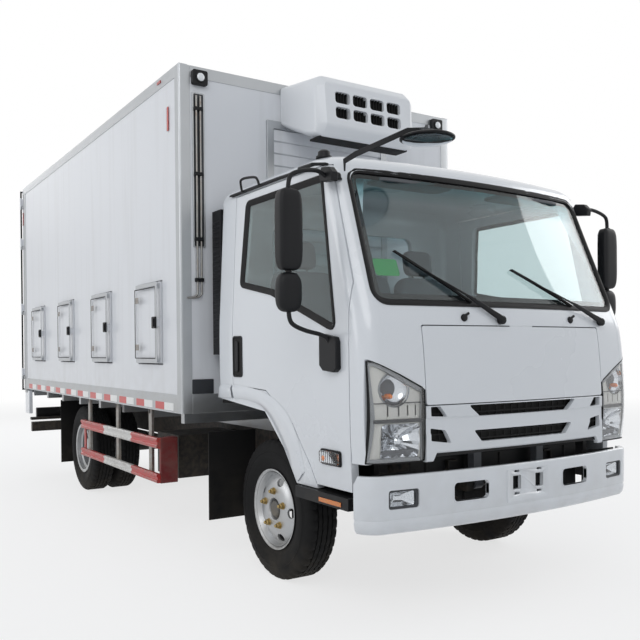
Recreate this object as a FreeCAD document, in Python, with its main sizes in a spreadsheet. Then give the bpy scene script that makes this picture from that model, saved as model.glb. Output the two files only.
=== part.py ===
import FreeCAD, Part
import math
import os
import re

from FreeCAD import Placement, Rotation, Vector

# Light cab-over lorry with an insulated poultry box, in millimetres.
# +Z is up, the cab faces -Y, and x = 0 is the lorry's centre plane. Stations are measured
# rearwards from the front axle; one shift at the end puts the frame's origin mid-length.
SIZES = {
    "front_overhang": 1075, "wheelbase": 3360, "rear_overhang": 1560,
    "tyre_radius": 385, "tyre_width": 200, "bead_radius": 204, "front_track": 1504,
    "rear_track": 1425, "twin_spacing": 230, "kingpin_offset": 630, "kingpin_radius": 18,
    "spindle_radius": 25, "axle_tube_radius": 45, "running_gap": 0.05, "seat_gap": 0.3,
    "rail_spread": 750, "rail_depth": 190, "rail_flange": 60, "rail_web": 8, "rail_top": 720,
    "spring_width": 70, "spring_stack": 50, "front_spring": 1100, "rear_spring": 1250,
    "box_width": 2190, "box_front": 665, "box_bottom": 880, "box_top": 3012, "wall": 60,
    "floor_thick": 90, "rear_frame": 60, "rear_door_thick": 60, "door_gap": 6,
    "hatch_length": 430, "hatch_height": 526, "hatch_bottom": 1186, "hatch_first": 1182,
    "hatch_pitch": 1002, "hatch_thick": 46, "hatch_proud": 12, "hatch_gap": 9,
    "cab_half": 930, "cab_rear": 505, "cab_wall": 40, "seam_gap": 5,
    "tilt_station": -935, "tilt_height": 600, "tilt_pin": 15, "bumper_half": 955, "bumper_low": 430,
    "bumper_top": 698, "bumper_thick": 22, "wheel_rim": 195, "mirror_post": 11,
    "guard_face": 1090, "guard_front": 1102, "guard_rear": 2825, "cooler_half": 385,
    "glass_thick": 5, "lid_thick": 26,
}
HATCHES = 4
DOOR_HINGES = (1010, 1700, 2400, 2830)

doc = FreeCAD.newDocument("lorry")
sheet = doc.addObject("Spreadsheet::Sheet", "sizes")
for row, (alias, number) in enumerate(SIZES.items(), 1):
    sheet.set(f"A{row}", alias)
    sheet.set(f"B{row}", str(number))
    sheet.setAlias(f"B{row}", alias)
doc.recompute()

SHIFT = "(front_overhang - wheelbase - rear_overhang) / 2"
BOX_REAR = "wheelbase + rear_overhang"
FRAME_REAR = f"{BOX_REAR} - rear_door_thick"
RAIL_BOTTOM = "rail_top - rail_depth"
parts = {}


def size(text):
    # Value of an expression of sheet aliases, for shapes that are worked out here.
    names = {alias: float(sheet.get(alias)) for alias in SIZES}
    total = 0.0
    for sign, term in re.findall(r"([+-]?)\s*([\w.* /]+)", text):
        value = 1.0
        operator = "*"
        for token in re.findall(r"[\w.]+|[*/]", term):
            if token in "*/":
                operator = token
                continue
            factor = names[token] if token in names else float(token)
            value = value * factor if operator == "*" else value / factor
        total += -value if sign == "-" else value
    return total


def bound(text):
    # The same expression, with each alias read from the sheet.
    return re.sub(r"[a-z_]{3,}", lambda word: f"sizes.{word[0]}" if word[0] in SIZES else word[0], str(text))


def bind(item, **values):
    for name, text in values.items():
        item.setExpression(name.replace("_at_", "Placement.Base."), bound(text))
    return item


def brick(x, y, z):
    # Box between low and high expressions along each axis.
    item = doc.addObject("Part::Box", "brick")
    for axis, edge, (low, high) in zip("xyz", ("Length", "Width", "Height"), (x, y, z)):
        item.setExpression(edge, bound(f"({high}) - ({low})"))
        item.setExpression(f"Placement.Base.{axis}", bound(low))
    return item


TURNS = {"x": Rotation(Vector(0, 1, 0), 90), "y": Rotation(Vector(1, 0, 0), -90), "z": Rotation()}


def rod(along, radius, length, x, y, z):
    # Cylinder along +X, +Y or +Z from its start point.
    item = doc.addObject("Part::Cylinder", "rod")
    item.Placement = Placement(Vector(), TURNS[along])
    bind(item, Radius=radius, Height=length, _at_x=x, _at_y=y, _at_z=z)
    return item


def fused(*items):
    item = doc.addObject("Part::MultiFuse", "fused")
    item.Shapes = list(items)
    item.Refine = True
    return item


def grouped(*items):
    item = doc.addObject("Part::Compound", "grouped")
    item.Links = list(items)
    return item


def cut(base, *tools):
    item = doc.addObject("Part::Cut", "cut")
    item.Base = base
    item.Tool = tools[0] if len(tools) == 1 else grouped(*tools)
    return item


def mirrored(item):
    twin = doc.addObject("Part::Mirroring", "mirrored")
    twin.Source = item
    twin.Normal = Vector(1, 0, 0)
    return twin


def both_sides(item):
    return grouped(item, mirrored(item))


def made(shape, name="shaped"):
    item = doc.addObject("Part::Feature", name)
    item.Shape = shape
    return item


def closed_lines(points):
    ends = [Vector(*point, 0) for point in points]
    return [Part.LineSegment(ends[i], ends[(i + 1) % len(ends)]) for i in range(len(ends))]


def sketch_on(body, role, shapes):
    sketch = body.newObject("Sketcher::SketchObject", "sketch")
    plane = next(item for item in body.Origin.OriginFeatures if item.Role == role)
    sketch.AttachmentSupport = [(plane, "")]
    sketch.MapMode = "FlatFace"
    sketch.addGeometry(shapes, False)
    return sketch


def padded(role, shapes, length, start="0"):
    # Body whose outline on an origin plane is padded by a bound length from a bound start.
    body = doc.addObject("PartDesign::Body", "padded")
    pad = body.newObject("PartDesign::Pad", "pad")
    pad.Profile = sketch_on(body, role, shapes)
    bind(pad, Length=length)
    axis = {"YZ_Plane": "x", "XZ_Plane": "y", "XY_Plane": "z"}[role]
    if role == "XZ_Plane":
        pad.Reversed = True
    body.setExpression(f"Placement.Base.{axis}", bound(start))
    return body


def turned(outline, x, y):
    # Body turned about an axis along X at wheel height; the outline is (x, radius).
    body = doc.addObject("PartDesign::Body", "turned")
    spin = body.newObject("PartDesign::Revolution", "spin")
    sketch = sketch_on(body, "XZ_Plane", closed_lines(outline))
    spin.Profile = sketch
    spin.ReferenceAxis = (sketch, ["H_Axis"])
    spin.Angle = 360
    bind(body, _at_x=x, _at_y=y, _at_z="tyre_radius")
    return body


def subpart(label, item):
    # Names a finished piece and moves it from axle stations to the lorry's own frame.
    bound_cells = dict(item.ExpressionEngine)
    own = bound_cells.get(".Placement.Base.y") or bound_cells.get("Placement.Base.y")
    base = f"({own}) + " if own else ""
    item.setExpression("Placement.Base.y", base + bound(SHIFT))
    item.Label = label
    parts[label] = item
    return item


def rounded_wire(points, radius):
    # Closed wire through the points with each corner rounded.
    edges = []
    arcs = []
    count = len(points)
    for i, corner in enumerate(points):
        back = (points[i - 1] - corner).normalize()
        ahead = (points[(i + 1) % count] - corner).normalize()
        half_angle = back.getAngle(ahead) / 2
        reach = radius / math.tan(half_angle)
        middle = corner + (back + ahead).normalize() * (radius / math.sin(half_angle) - radius)
        arcs.append((corner + back * reach, middle, corner + ahead * reach))
    for i, (start, middle, end) in enumerate(arcs):
        edges.append(Part.Arc(start, middle, end).toShape())
        edges.append(Part.makeLine(end, arcs[(i + 1) % count][0]))
    return Part.Wire(edges)


def side_prism(outline, radius=0, low=-1400, high=1400):
    # Solid across x whose outline is (station, height).
    points = [Vector(low, y, z) for y, z in outline]
    wire = rounded_wire(points, radius) if radius else Part.makePolygon(points + points[:1])
    return Part.Face(wire).extrude(Vector(high - low, 0, 0))


def front_prism(outline, radius=0, low=-1400, high=0):
    # Solid along y whose outline is (x, height).
    points = [Vector(x, low, z) for x, z in outline]
    wire = rounded_wire(points, radius) if radius else Part.makePolygon(points + points[:1])
    return Part.Face(wire).extrude(Vector(0, high - low, 0))


def slab(x, y, z):
    return Part.makeBox(x[1] - x[0], y[1] - y[0], z[1] - z[0], Vector(x[0], y[0], z[0]))


def tube_along(points, radius):
    # Round bar through the points, with ball corners.
    shapes = []
    for start, end in zip(points, points[1:]):
        shapes.append(Part.makeCylinder(radius, (end - start).Length, start, end - start))
    for corner in points[1:-1]:
        shapes.append(Part.makeSphere(radius, corner))
    return shapes[0].fuse(shapes[1:]).removeSplitter()


def main_solid(shape):
    return max(shape.Solids, key=lambda piece: piece.Volume)


def across(shape):
    # The same shape on the other side of the centre plane.
    return shape.mirror(Vector(), Vector(1, 0, 0))


# ---------------------------------------------------------------- chassis


def chassis_frame():
    web = size("rail_web")
    depth = size("rail_depth")
    flange = size("rail_flange")
    channel = [(0, 0), (flange, 0), (flange, web), (web, web),
               (web, depth - web), (flange, depth - web), (flange, depth), (0, depth)]
    rail = padded("XZ_Plane", closed_lines(channel), "wheelbase + rear_overhang - 110 + 900", "-900")
    bind(rail, _at_x="-rail_spread / 2", _at_z=RAIL_BOTTOM)
    members = []
    for station in ("-860", "-420", "wheelbase * 0.3", "wheelbase * 0.55", "wheelbase * 0.78",
                    "wheelbase + 640", f"{FRAME_REAR} - 170"):
        members.append(brick(("-rail_spread / 2 + rail_web", "rail_spread / 2 - rail_web"),
                             (station, f"{station} + 70"), (f"{RAIL_BOTTOM} + 70", "rail_top - 40")))
    # Tilt pin with its ears, and the rear rests that carry the cab's deck.
    pin = rod("x", "tilt_pin", "620", "-310", "tilt_station", "tilt_height")
    ear = brick(("262", "310"), ("tilt_station - 22", "-840"), ("tilt_height - 30", "tilt_height + 30"))
    rest = brick(("rail_spread / 2 - 60", "rail_spread / 2"), ("380", "450"), ("rail_top", "985 - seat_gap"))
    pairs = [piece for single in (rail, ear, rest) for piece in (single, mirrored(single))]
    subpart("chassis_frame", fused(*pairs, pin, *members))


def engine_block():
    block = brick(("-rail_spread / 2 + 95", "rail_spread / 2 - 95"), ("-340", "430"), ("470", "940"))
    arms = brick(("-rail_spread / 2 + rail_web", "rail_spread / 2 - rail_web"), ("20", "110"), ("600", "650"))
    subpart("engine_block", fused(block, arms))


def driveline():
    # Gearbox behind the engine, and the shaft back to the axle's nose.
    gearbox = brick(("-150", "150"), ("430 + seat_gap", "900"), ("480", "700"))
    nose_station = size("wheelbase - 225 - seat_gap")
    shaft = made(tube_along([Vector(0, 890, 530), Vector(0, nose_station - 40, 400), Vector(0, nose_station, 400)], 38))
    subpart("driveline", fused(gearbox, shaft))


def front_axle():
    reach = "kingpin_offset - 32"
    beam = brick((f"-({reach})", reach), ("-42", "42"), ("tyre_radius - 45", "tyre_radius + 45"))
    eye = rod("z", "38", "91", "kingpin_offset", "0", "tyre_radius - 45.5")
    bore = rod("z", "kingpin_radius + running_gap", "200", "kingpin_offset", "0", "tyre_radius - 100")
    solid = fused(beam, eye, mirrored(eye))
    subpart("front_axle", cut(solid, bore, mirrored(bore)))


def knuckle(label, right):
    # Kingpin, fork and spindle of one steered wheel.
    pin = rod("z", "kingpin_radius", "150", "kingpin_offset", "0", "tyre_radius - 75")
    over = brick(("kingpin_offset - 26", "kingpin_offset + 74"), ("-30", "30"),
                 ("tyre_radius + 46", "tyre_radius + 72"))
    under = brick(("kingpin_offset - 26", "kingpin_offset + 74"), ("-30", "30"),
                  ("tyre_radius - 72", "tyre_radius - 46"))
    back = brick(("kingpin_offset + 46", "kingpin_offset + 74"), ("-30", "30"),
                 ("tyre_radius - 72", "tyre_radius + 72"))
    spindle = rod("x", "spindle_radius", "front_track / 2 - kingpin_offset - 44", "kingpin_offset + 70", "0",
                  "tyre_radius")
    whole = fused(pin, over, under, back, spindle)
    subpart(label, mirrored(whole) if right else whole)


def rear_axle():
    tube = rod("x", "62", "1060", "-530", "wheelbase", "tyre_radius")
    half = "rear_track / 2 + twin_spacing / 2 + 20"
    journal = rod("x", "axle_tube_radius", f"2 * ({half})", f"-({half})", "wheelbase", "tyre_radius")
    ball = rod("y", "160", "230", "0", "wheelbase - 115", "tyre_radius")
    nose = rod("y", "75", "230", "0", "wheelbase - 225", "tyre_radius")
    subpart("rear_axle", fused(tube, journal, ball, nose))


def spring_pack(station, length, seat, gap):
    # Leaf pack resting on the axle, with a hanger at each end up to the rail.
    across = ("rail_spread / 2 - 65", "rail_spread / 2 - 65 + spring_width")
    pack = brick(across, (f"{station} - {length} / 2", f"{station} + {length} / 2"),
                 (f"{seat} + {gap}", f"{seat} + {gap} + spring_stack"))
    pad = brick(across, (f"{station} - 55", f"{station} + 55"), (f"{seat}", f"{seat} + {gap}"))
    hangers = []
    for end in (f"{station} - {length} / 2", f"{station} + {length} / 2 - 50"):
        hangers.append(brick(across, (end, f"{end} + 50"), (f"{seat} + {gap}", RAIL_BOTTOM)))
    return both_sides(fused(pack, pad, *hangers))


def leaf_springs():
    front = spring_pack("0", "front_spring", "tyre_radius + 45", "10")
    rear = spring_pack("wheelbase", "rear_spring", "tyre_radius + 62", "6")
    subpart("leaf_springs", grouped(front, rear))


def exhaust():
    pipe = [Vector(-215, 430.5, 520), Vector(-215, 540, 520), Vector(-215, 700, 440), Vector(-215, 1100, 440)]
    hook = size("wheelbase * 0.3") + 35
    tail = [Vector(x, station, 440) for x, station in ((-215, 1690), (-215, 2150), (-330, 2350), (-560, 2420))]
    can = Part.makeCylinder(95, 600, Vector(-215, 1095, 440), Vector(0, 1, 0))
    hanger = slab((-230, -200), (hook - 15, hook + 15), (440, 600))
    body = can.fuse([tube_along(pipe, 28), tube_along(tail, 28), hanger])
    subpart("exhaust", made(body.removeSplitter()))


def fuel_tank():
    tank = brick(("rail_spread / 2 + 40", "930"), ("1250", "1900"), ("390", "690"))
    arms = [brick(("rail_spread / 2", "rail_spread / 2 + 40"), (f"{y}", f"{y} + 60"), ("560", "680"))
            for y in (1330, 1760)]
    neck = rod("x", "38", "70", "925", "1340", "610")
    subpart("fuel_tank", fused(tank, *arms, neck))


def battery_box():
    case = brick(("-900", "-rail_spread / 2 - 60"), ("1180", "1560"), ("400", "690"))
    arm = brick(("-rail_spread / 2 - 60", "-rail_spread / 2"), ("1300", "1440"), ("560", "680"))
    subpart("battery_box", fused(case, arm))


def mudguards():
    # Flaps behind the wheels and arched guards over the twin wheels, on brackets from the rails.
    front = fused(brick(("690", "1005"), ("478", "486"), ("256", "780")),
                  brick(("rail_spread / 2", "760"), ("486", "520"), ("600", "650")))
    rear = fused(brick(("570", "975"), ("wheelbase + 530", "wheelbase + 538"), ("195", "800")),
                 brick(("rail_spread / 2", "760"), ("wheelbase + 538", "wheelbase + 572"), ("600", "650")))
    subpart("mudguards", grouped(both_sides(front), both_sides(rear)))


def side_guards():
    # Two rails a side on hangers from the box floor, with a turned-in plate at the front end.
    rails = []
    for low, high in (("395", "456"), ("623", "692")):
        rails.append(brick(("-guard_face", "-guard_face + 28"), ("guard_front", "guard_rear"), (low, high)))
    posts = []
    for share in ("0.06", "0.5", "0.9"):
        start = f"guard_front + (guard_rear - guard_front) * {share}"
        posts.append(brick(("-guard_face + 28", "-guard_face + 40"), (start, f"{start} + 45"),
                           ("395", "box_bottom")))
    end = brick(("-guard_face + 28", "-guard_face + 150"), ("guard_front", "guard_front + 8"), ("395", "700"))
    right = fused(*rails, *posts, end)
    subpart("side_guards", both_sides(right))


def rear_underrun():
    beam = brick(("-1030", "1030"), (f"{FRAME_REAR} - 30", f"{FRAME_REAR} + 30"), ("420", "520"))
    arm = brick(("rail_spread / 2 - rail_flange", "rail_spread / 2"),
                (f"{FRAME_REAR} - 50", f"{FRAME_REAR} - 30"),
                ("440", "rail_top - 20"))
    subpart("rear_underrun", fused(beam, arm, mirrored(arm)))


def plan_outline(half, nose, bow, corner, rear, height):
    # Horizontal outline of the cab's nose: bowed front, round corners and straight sides.
    start = nose + bow
    slope = math.sqrt(0.5)
    sweep = corner * (1 - slope)
    back = 45
    ends = [Vector(half - back, rear, height), Vector(half, rear - back, height),
            Vector(half, start + corner, height), Vector(half - corner, start, height),
            Vector(-half + corner, start, height), Vector(-half, start + corner, height),
            Vector(-half, rear - back, height), Vector(-half + back, rear, height)]
    curve = Part.Arc(ends[3], Vector(0, nose, height), ends[4]).toShape()
    right = Part.Arc(ends[2], Vector(half - sweep, start + sweep, height), ends[3]).toShape()
    left = Part.Arc(ends[4], Vector(-half + sweep, start + sweep, height), ends[5]).toShape()
    turn = back * (1 - slope)
    rear_right = Part.Arc(ends[0], Vector(half - turn, rear - turn, height), ends[1]).toShape()
    rear_left = Part.Arc(ends[6], Vector(-half + turn, rear - turn, height), ends[7]).toShape()
    return Part.Wire([rear_right, Part.makeLine(ends[1], ends[2]), right, curve, left,
                      Part.makeLine(ends[5], ends[6]), rear_left, Part.makeLine(ends[7], ends[0])])


def front_bumper():
    half = size("bumper_half")
    nose = -size("front_overhang")
    low = size("bumper_low")
    top = size("bumper_top")
    thick = size("bumper_thick")
    outer = Part.makeLoft([plan_outline(half - 45, nose + 22, 62, 140, -700, low),
                           plan_outline(half - 8, nose, 62, 140, -700, low + 60),
                           plan_outline(half, nose, 62, 140, -700, low + 130),
                           plan_outline(half, nose + 8, 62, 140, -700, top)], True, False)
    inner = Part.makeLoft([plan_outline(half - 45 - thick, nose + 22 + thick, 62, 125, -690, low - 1),
                           plan_outline(half - 8 - thick, nose + thick, 62, 125, -690, low + 60),
                           plan_outline(half - thick, nose + thick, 62, 125, -690, low + 130),
                           plan_outline(half - thick, nose + 8 + thick, 62, 125, -690, top + 1)], True, False)
    skin = outer.cut(inner).cut(slab((-1200, 1200), (-918, 0), (0, 1000)))
    for side in (-1, 1):
        tow = front_prism([(side * 272, 552), (side * 470, 552), (side * 470, 637), (side * 272, 637)], 14)
        lamp = Part.makeCylinder(62, 600, Vector(side * 805, -1300, 612), Vector(0, 1, 0))
        skin = skin.cut(tow).cut(lamp)
        square = front_prism([(side * 74, 590), (side * 96, 590), (side * 96, 612), (side * 74, 612)])
        skin = skin.cut(square)
        stay = slab((side * 370 - 20, side * 370 + 20), (-1050, -900), (640, 690))
        skin = skin.fuse(stay)
    subpart("front_bumper", made(main_solid(skin)))


# ---------------------------------------------------------------- wheels


def rim_profile(dish, hub_inner):
    # Half section of a drop-centre rim and its disc; dish is the disc's place along the axle.
    bead = size("bead_radius") - size("seat_gap")
    bore = hub_inner
    return [(-90, bead + 16), (-84, bead + 18), (-82, bead), (-50, bead - 4), (-38, bead - 24), (38, bead - 24),
            (50, bead - 4), (82, bead), (84, bead + 18), (90, bead + 16), (88, bead - 8), (54, bead - 12),
            (44, bead - 32), (dish + 14, bead - 32), (dish + 34, bead - 60), (dish + 34, 120), (dish + 20, 104),
            (dish + 20, 62), (dish + 8, 56), (dish + 8, bore), (dish - 60, bore), (dish - 60, 90),
            (dish - 6, 100), (dish + 24, 124), (dish + 24, bead - 66), (dish + 2, bead - 36), (-44, bead - 32),
            (-54, bead - 12), (-88, bead - 8)]


def tyre_outline(offset=0):
    outer = size("tyre_radius")
    bead = size("bead_radius")
    half = size("tyre_width / 2")
    right = [(half - 18, bead), (half - 19, bead + 22), (half - 4, bead + 58), (half, bead + 98),
             (half - 8, outer - 34), (half - 22, outer - 7), (half - 34, outer)]
    inside = [(half - 32, bead), (half - 34, bead + 26), (half - 18, bead + 60), (half - 14, bead + 98),
              (half - 24, outer - 40), (half - 40, outer - 20)]
    shell = right + [(-x, r) for x, r in reversed(right)]
    hollow = [(-x, r) for x, r in inside] + list(reversed(inside))
    return [(x + offset, r) for x, r in shell + hollow]


def hand_holes(body, radius, hole, depth):
    # Ring of round openings through the disc.
    profile = sketch_on(body, "YZ_Plane", [Part.Circle(Vector(0, radius, 0), Vector(0, 0, 1), hole)])
    pocket = body.newObject("PartDesign::Pocket", "hole")
    pocket.Profile = profile
    pocket.Type = "Length"
    pocket.SideType = "Symmetric"
    bind(pocket, Length=depth)
    ring = body.newObject("PartDesign::PolarPattern", "ring")
    ring.Originals = [pocket]
    outline = next(item for item in body.Group if item.TypeId == "Sketcher::SketchObject")
    ring.Axis = (outline, ["H_Axis"])
    ring.Angle = 360
    ring.Occurrences = 8
    body.Tip = ring
    return body


def front_wheel(side, right):
    bore = size("spindle_radius + running_gap")
    rim = turned(rim_profile(20, bore), "front_track / 2", "0")
    hand_holes(rim, 142, 19, "120")
    cap = rod("x", "48", "52", "front_track / 2 + 28", "0", "tyre_radius")
    whole = fused(rim, cap)
    tyre = turned(tyre_outline(), "front_track / 2", "0")
    subpart(f"front_rim_{side}", mirrored(whole) if right else whole)
    subpart(f"front_tyre_{side}", mirrored(tyre) if right else tyre)


def twin_profile():
    # Two rims back to back on one hub.
    bead = size("bead_radius") - size("seat_gap")
    gap = size("twin_spacing / 2")
    bore = size("axle_tube_radius + running_gap")
    outer = [(gap - 90, bead + 16), (gap - 84, bead + 18), (gap - 82, bead), (gap - 50, bead - 4),
             (gap - 38, bead - 24), (gap + 38, bead - 24), (gap + 50, bead - 4), (gap + 82, bead),
             (gap + 84, bead + 18), (gap + 90, bead + 16), (gap + 88, bead - 8), (gap + 54, bead - 12),
             (gap + 44, bead - 32), (gap - 30, bead - 32), (24, 150), (10, 130), (10, 100),
             (60, 88), (60, bore)]
    inner = [(-x, r) for x, r in reversed(outer)]
    return outer + inner


def rear_wheels(side, right):
    rim = turned(twin_profile(), "rear_track / 2", "wheelbase")
    hand_holes(rim, 142, 17, "2 * twin_spacing")
    cap = rod("x", "84", "16", "rear_track / 2 + twin_spacing / 2 + 26", "wheelbase", "tyre_radius")
    sleeve = rod("x", "84", "twin_spacing / 2 + 26 - 60", "rear_track / 2 + 60", "wheelbase", "tyre_radius")
    well = rod("x", "axle_tube_radius + running_gap", "twin_spacing / 2 + 26 - 58", "rear_track / 2 + 58",
               "wheelbase", "tyre_radius")
    whole = fused(rim, cut(sleeve, well), cap)
    tyres = grouped(turned(tyre_outline(), "rear_track / 2 - twin_spacing / 2", "wheelbase"),
                    turned(tyre_outline(), "rear_track / 2 + twin_spacing / 2", "wheelbase"))
    subpart(f"rear_rims_{side}", mirrored(whole) if right else whole)
    subpart(f"rear_tyres_{side}", mirrored(tyres) if right else tyres)


# ---------------------------------------------------------------- poultry box


def box_floor():
    inside = "box_width / 2 - wall"
    panel = brick((f"-({inside})", inside), ("box_front + wall", f"{FRAME_REAR} - rear_frame"),
                  ("box_bottom", "box_bottom + floor_thick"))
    sills = [brick((f"{x}", f"{x} + 60"), ("box_front + wall", f"{FRAME_REAR} - rear_frame"),
                   ("rail_top", "rail_top + 90")) for x in ("rail_spread / 2 - 60", "-rail_spread / 2")]
    bearers = [brick((f"-({inside})", inside),
                     (f"box_front + 100 + {i} * 560", f"box_front + 150 + {i} * 560"),
                     ("rail_top + 90", "box_bottom")) for i in range(8)]
    subpart("box_floor", fused(panel, *sills, *bearers))


def box_roof():
    subpart("box_roof", brick(("-box_width / 2", "box_width / 2"), ("box_front", FRAME_REAR),
                              ("box_top - wall", "box_top")))


def box_front_wall():
    inside = "box_width / 2 - wall"
    subpart("box_front_wall", brick((f"-({inside})", inside), ("box_front", "box_front + wall"),
                                    ("box_bottom", "box_top - wall")))


def hatch_start(index):
    return f"hatch_first + {index} * hatch_pitch - hatch_length / 2"


def box_wall(label, right):
    wall = brick(("-box_width / 2", "-box_width / 2 + wall"), ("box_front", f"{FRAME_REAR} - rear_frame"),
                 ("box_bottom", "box_top - wall"))
    holes = []
    for index in range(HATCHES):
        start = hatch_start(index)
        holes.append(brick(("-box_width / 2 - 10", "-box_width / 2 + wall + 10"),
                           (f"{start} - hatch_gap", f"{start} + hatch_length + hatch_gap"),
                           ("hatch_bottom - hatch_gap", "hatch_bottom + hatch_height + hatch_gap")))
    strips = []
    for index in range(HATCHES):
        edge = f"{hatch_start(index)} + hatch_length + hatch_gap + seat_gap"
        strips.append(brick(("-box_width / 2 - hatch_proud", "-box_width / 2"), (edge, f"{edge} + 16"),
                            ("hatch_bottom + 20", "hatch_bottom + hatch_height - 20")))
    whole = fused(cut(wall, *holes), *strips)
    subpart(label, whole if right else mirrored(whole))


def vent_hatches(side, right):
    for index in range(HATCHES):
        start = hatch_start(index)
        leaf = brick(("-box_width / 2 - hatch_proud", "-box_width / 2 - hatch_proud + hatch_thick"),
                     (start, f"{start} + hatch_length"), ("hatch_bottom", "hatch_bottom + hatch_height"))
        hinge = rod("z", "5", "hatch_height - 40", "-box_width / 2 - hatch_proud",
                    f"{start} + hatch_length + 4", "hatch_bottom + 20")
        handle = brick(("-box_width / 2 - hatch_proud - 22", "-box_width / 2 - hatch_proud"),
                       (f"{start} + 14", f"{start} + 60"),
                       ("hatch_bottom + hatch_height / 2 - 25", "hatch_bottom + hatch_height / 2 + 25"))
        whole = fused(leaf, hinge, handle)
        subpart(f"vent_hatch_{side}_{index + 1}", whole if right else mirrored(whole))


def box_rear_frame():
    rear = (f"{FRAME_REAR} - rear_frame", FRAME_REAR)
    outer = brick(("-box_width / 2", "box_width / 2"), rear, ("box_bottom - 40", "box_top - wall"))
    inner = brick(("-box_width / 2 + 85", "box_width / 2 - 85"),
                  (f"{FRAME_REAR} - 400", f"{FRAME_REAR} + 100"),
                  ("box_bottom + floor_thick", "box_top - wall - 60"))
    lugs = []
    for height in DOOR_HINGES:
        span = (f"{height} - 30", f"{height} - seat_gap")
        plate = brick(("box_width / 2", "box_width / 2 + 6"), (f"{FRAME_REAR} - 40", f"{BOX_REAR} - 8"), span)
        knuckle_rod = rod("z", "9", "30 - seat_gap",
                          "box_width / 2 + 14", f"{BOX_REAR} - 8", f"{height} - 30")
        lug = fused(plate, knuckle_rod)
        lugs += [lug, mirrored(lug)]
    subpart("box_rear_frame", fused(cut(outer, inner), *lugs))


def rear_door(label, right):
    leaf = brick(("3", "box_width / 2 - door_gap"), (f"{FRAME_REAR} + door_gap", BOX_REAR),
                 ("box_bottom - 20", "box_top - 12"))
    hinges = []
    for height in DOOR_HINGES:
        barrel = rod("z", "9", "90", "box_width / 2 + 14", f"{BOX_REAR} - 8", f"{height}")
        strap = brick(("box_width / 2 - 60", "box_width / 2 + 14"), (f"{BOX_REAR} - 12", f"{BOX_REAR}"),
                      (f"{height} + 10", f"{height} + 80"))
        hinges += [barrel, strap]
    whole = fused(leaf, *hinges)
    subpart(label, mirrored(whole) if right else whole)


def cooling_unit():
    wall = size("box_front")
    front = wall - 475
    outline = [(wall, 2730), (wall - 300, 2600), (front + 55, 2572), (front, 2640), (front, 2915), (front + 60, 2957),
               (wall, 3005)]
    subpart("cooling_unit", padded("YZ_Plane", closed_lines(outline), "2 * cooler_half", "-cooler_half"))


# ---------------------------------------------------------------- cab

# Height, half width, front of the centre line, bow of the front and corner radius.
LOWER = [(590, -15, -1052, 56, 110), (800, -5, -1058, 56, 110), (1010, 0, -1060, 52, 105),
         (1200, 2, -1048, 52, 105), (1380, 2, -1026, 54, 108), (1450, 0, -1008, 58, 115)]
UPPER = [(1450, 0, -1008, 58, 115), (2120, -32, -752, 62, 120)]
ROOF = [(2120, -32, -752, 62, 120), (2185, -48, -712, 62, 130), (2226, -110, -620, 62, 150),
        (2240, -190, -500, 62, 170)]


def cab_outline(level, inset, drop, rear_in):
    height, widen, nose, bow, corner = level
    half = size("cab_half") + widen
    return plan_outline(half - inset, nose + inset, bow, corner - inset * 0.7,
                        size("cab_rear") - inset - rear_in, height - drop)


def cab_solid(inset, start=0):
    # The cab's outer form, moved inwards by inset; start lowers the bottom for a cutting tool.
    lowest = [(LOWER[0][0] - start,) + LOWER[0][1:]] if start else []
    low = Part.makeLoft([cab_outline(level, inset, 0, 0) for level in lowest + LOWER], True, False)
    drop = inset
    upper = [cab_outline(UPPER[0], inset, 0, 0), cab_outline(UPPER[1], inset, drop, 0)]
    high = Part.makeLoft(upper, True, True)
    leans = (0, 6, 40, 110)
    crown = [cab_outline(level, inset, drop, lean) for level, lean in zip(ROOF, leans)]
    roof = Part.makeLoft(crown, True, False)
    return low.fuse([high, roof])


DOOR = [(-850, 612), (-850, 1570), (-664, 2070), (-636, 2150), (298, 2150), (298, 1068), (-86, 1050),
        (-352, 892), (-505, 700), (-560, 612)]
DOOR_WINDOW = [(-746, 1352), (-489, 1445), (-143, 1567), (206, 1634), (165, 2098), (-592, 2098)]
ARCH = [(-395, 400), (-378, 577), (-258, 757), (-69, 935), (499, 984), (700, 984), (700, 400)]
WINDSCREEN = [(-842, 1478), (842, 1478), (808, 2128), (-808, 2128)]
NOSE_PANEL = [(-625, 1008), (625, 1008), (625, 1370), (-625, 1370)]
GRILLE = [(-629.4, 748), (629.4, 748), (629.4, 1003), (-629.4, 1003)]
LAMP = [(630, 748), (1000, 748), (1000, 1222), (905, 1218), (630, 1078)]
LAMP_REAR = -946


def grown(outline, extra):
    # Outline moved outwards by extra, about its own middle.
    across = [u for u, v in outline]
    up = [v for u, v in outline]
    middle = ((max(across) + min(across)) / 2, (max(up) + min(up)) / 2)
    half = ((max(across) - min(across)) / 2, (max(up) - min(up)) / 2)
    scale = (1 + extra / half[0], 1 + extra / half[1])
    return [(middle[0] + (u - middle[0]) * scale[0], middle[1] + (v - middle[1]) * scale[1])
            for u, v in outline]


def loose_prism(outline, clearance, low, high):
    # Side prism whose outline lies the same distance outside the given one all the way round.
    points = [Vector(low, y, z) for y, z in outline]
    wire = Part.makePolygon(points + points[:1]).makeOffset2D(clearance, 2)
    return Part.Face(wire).extrude(Vector(high - low, 0, 0))


def cab_skin():
    skin = cab_solid(0).cut(cab_solid(size("cab_wall"), 30))
    return skin.cut(side_prism(ARCH))


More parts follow.
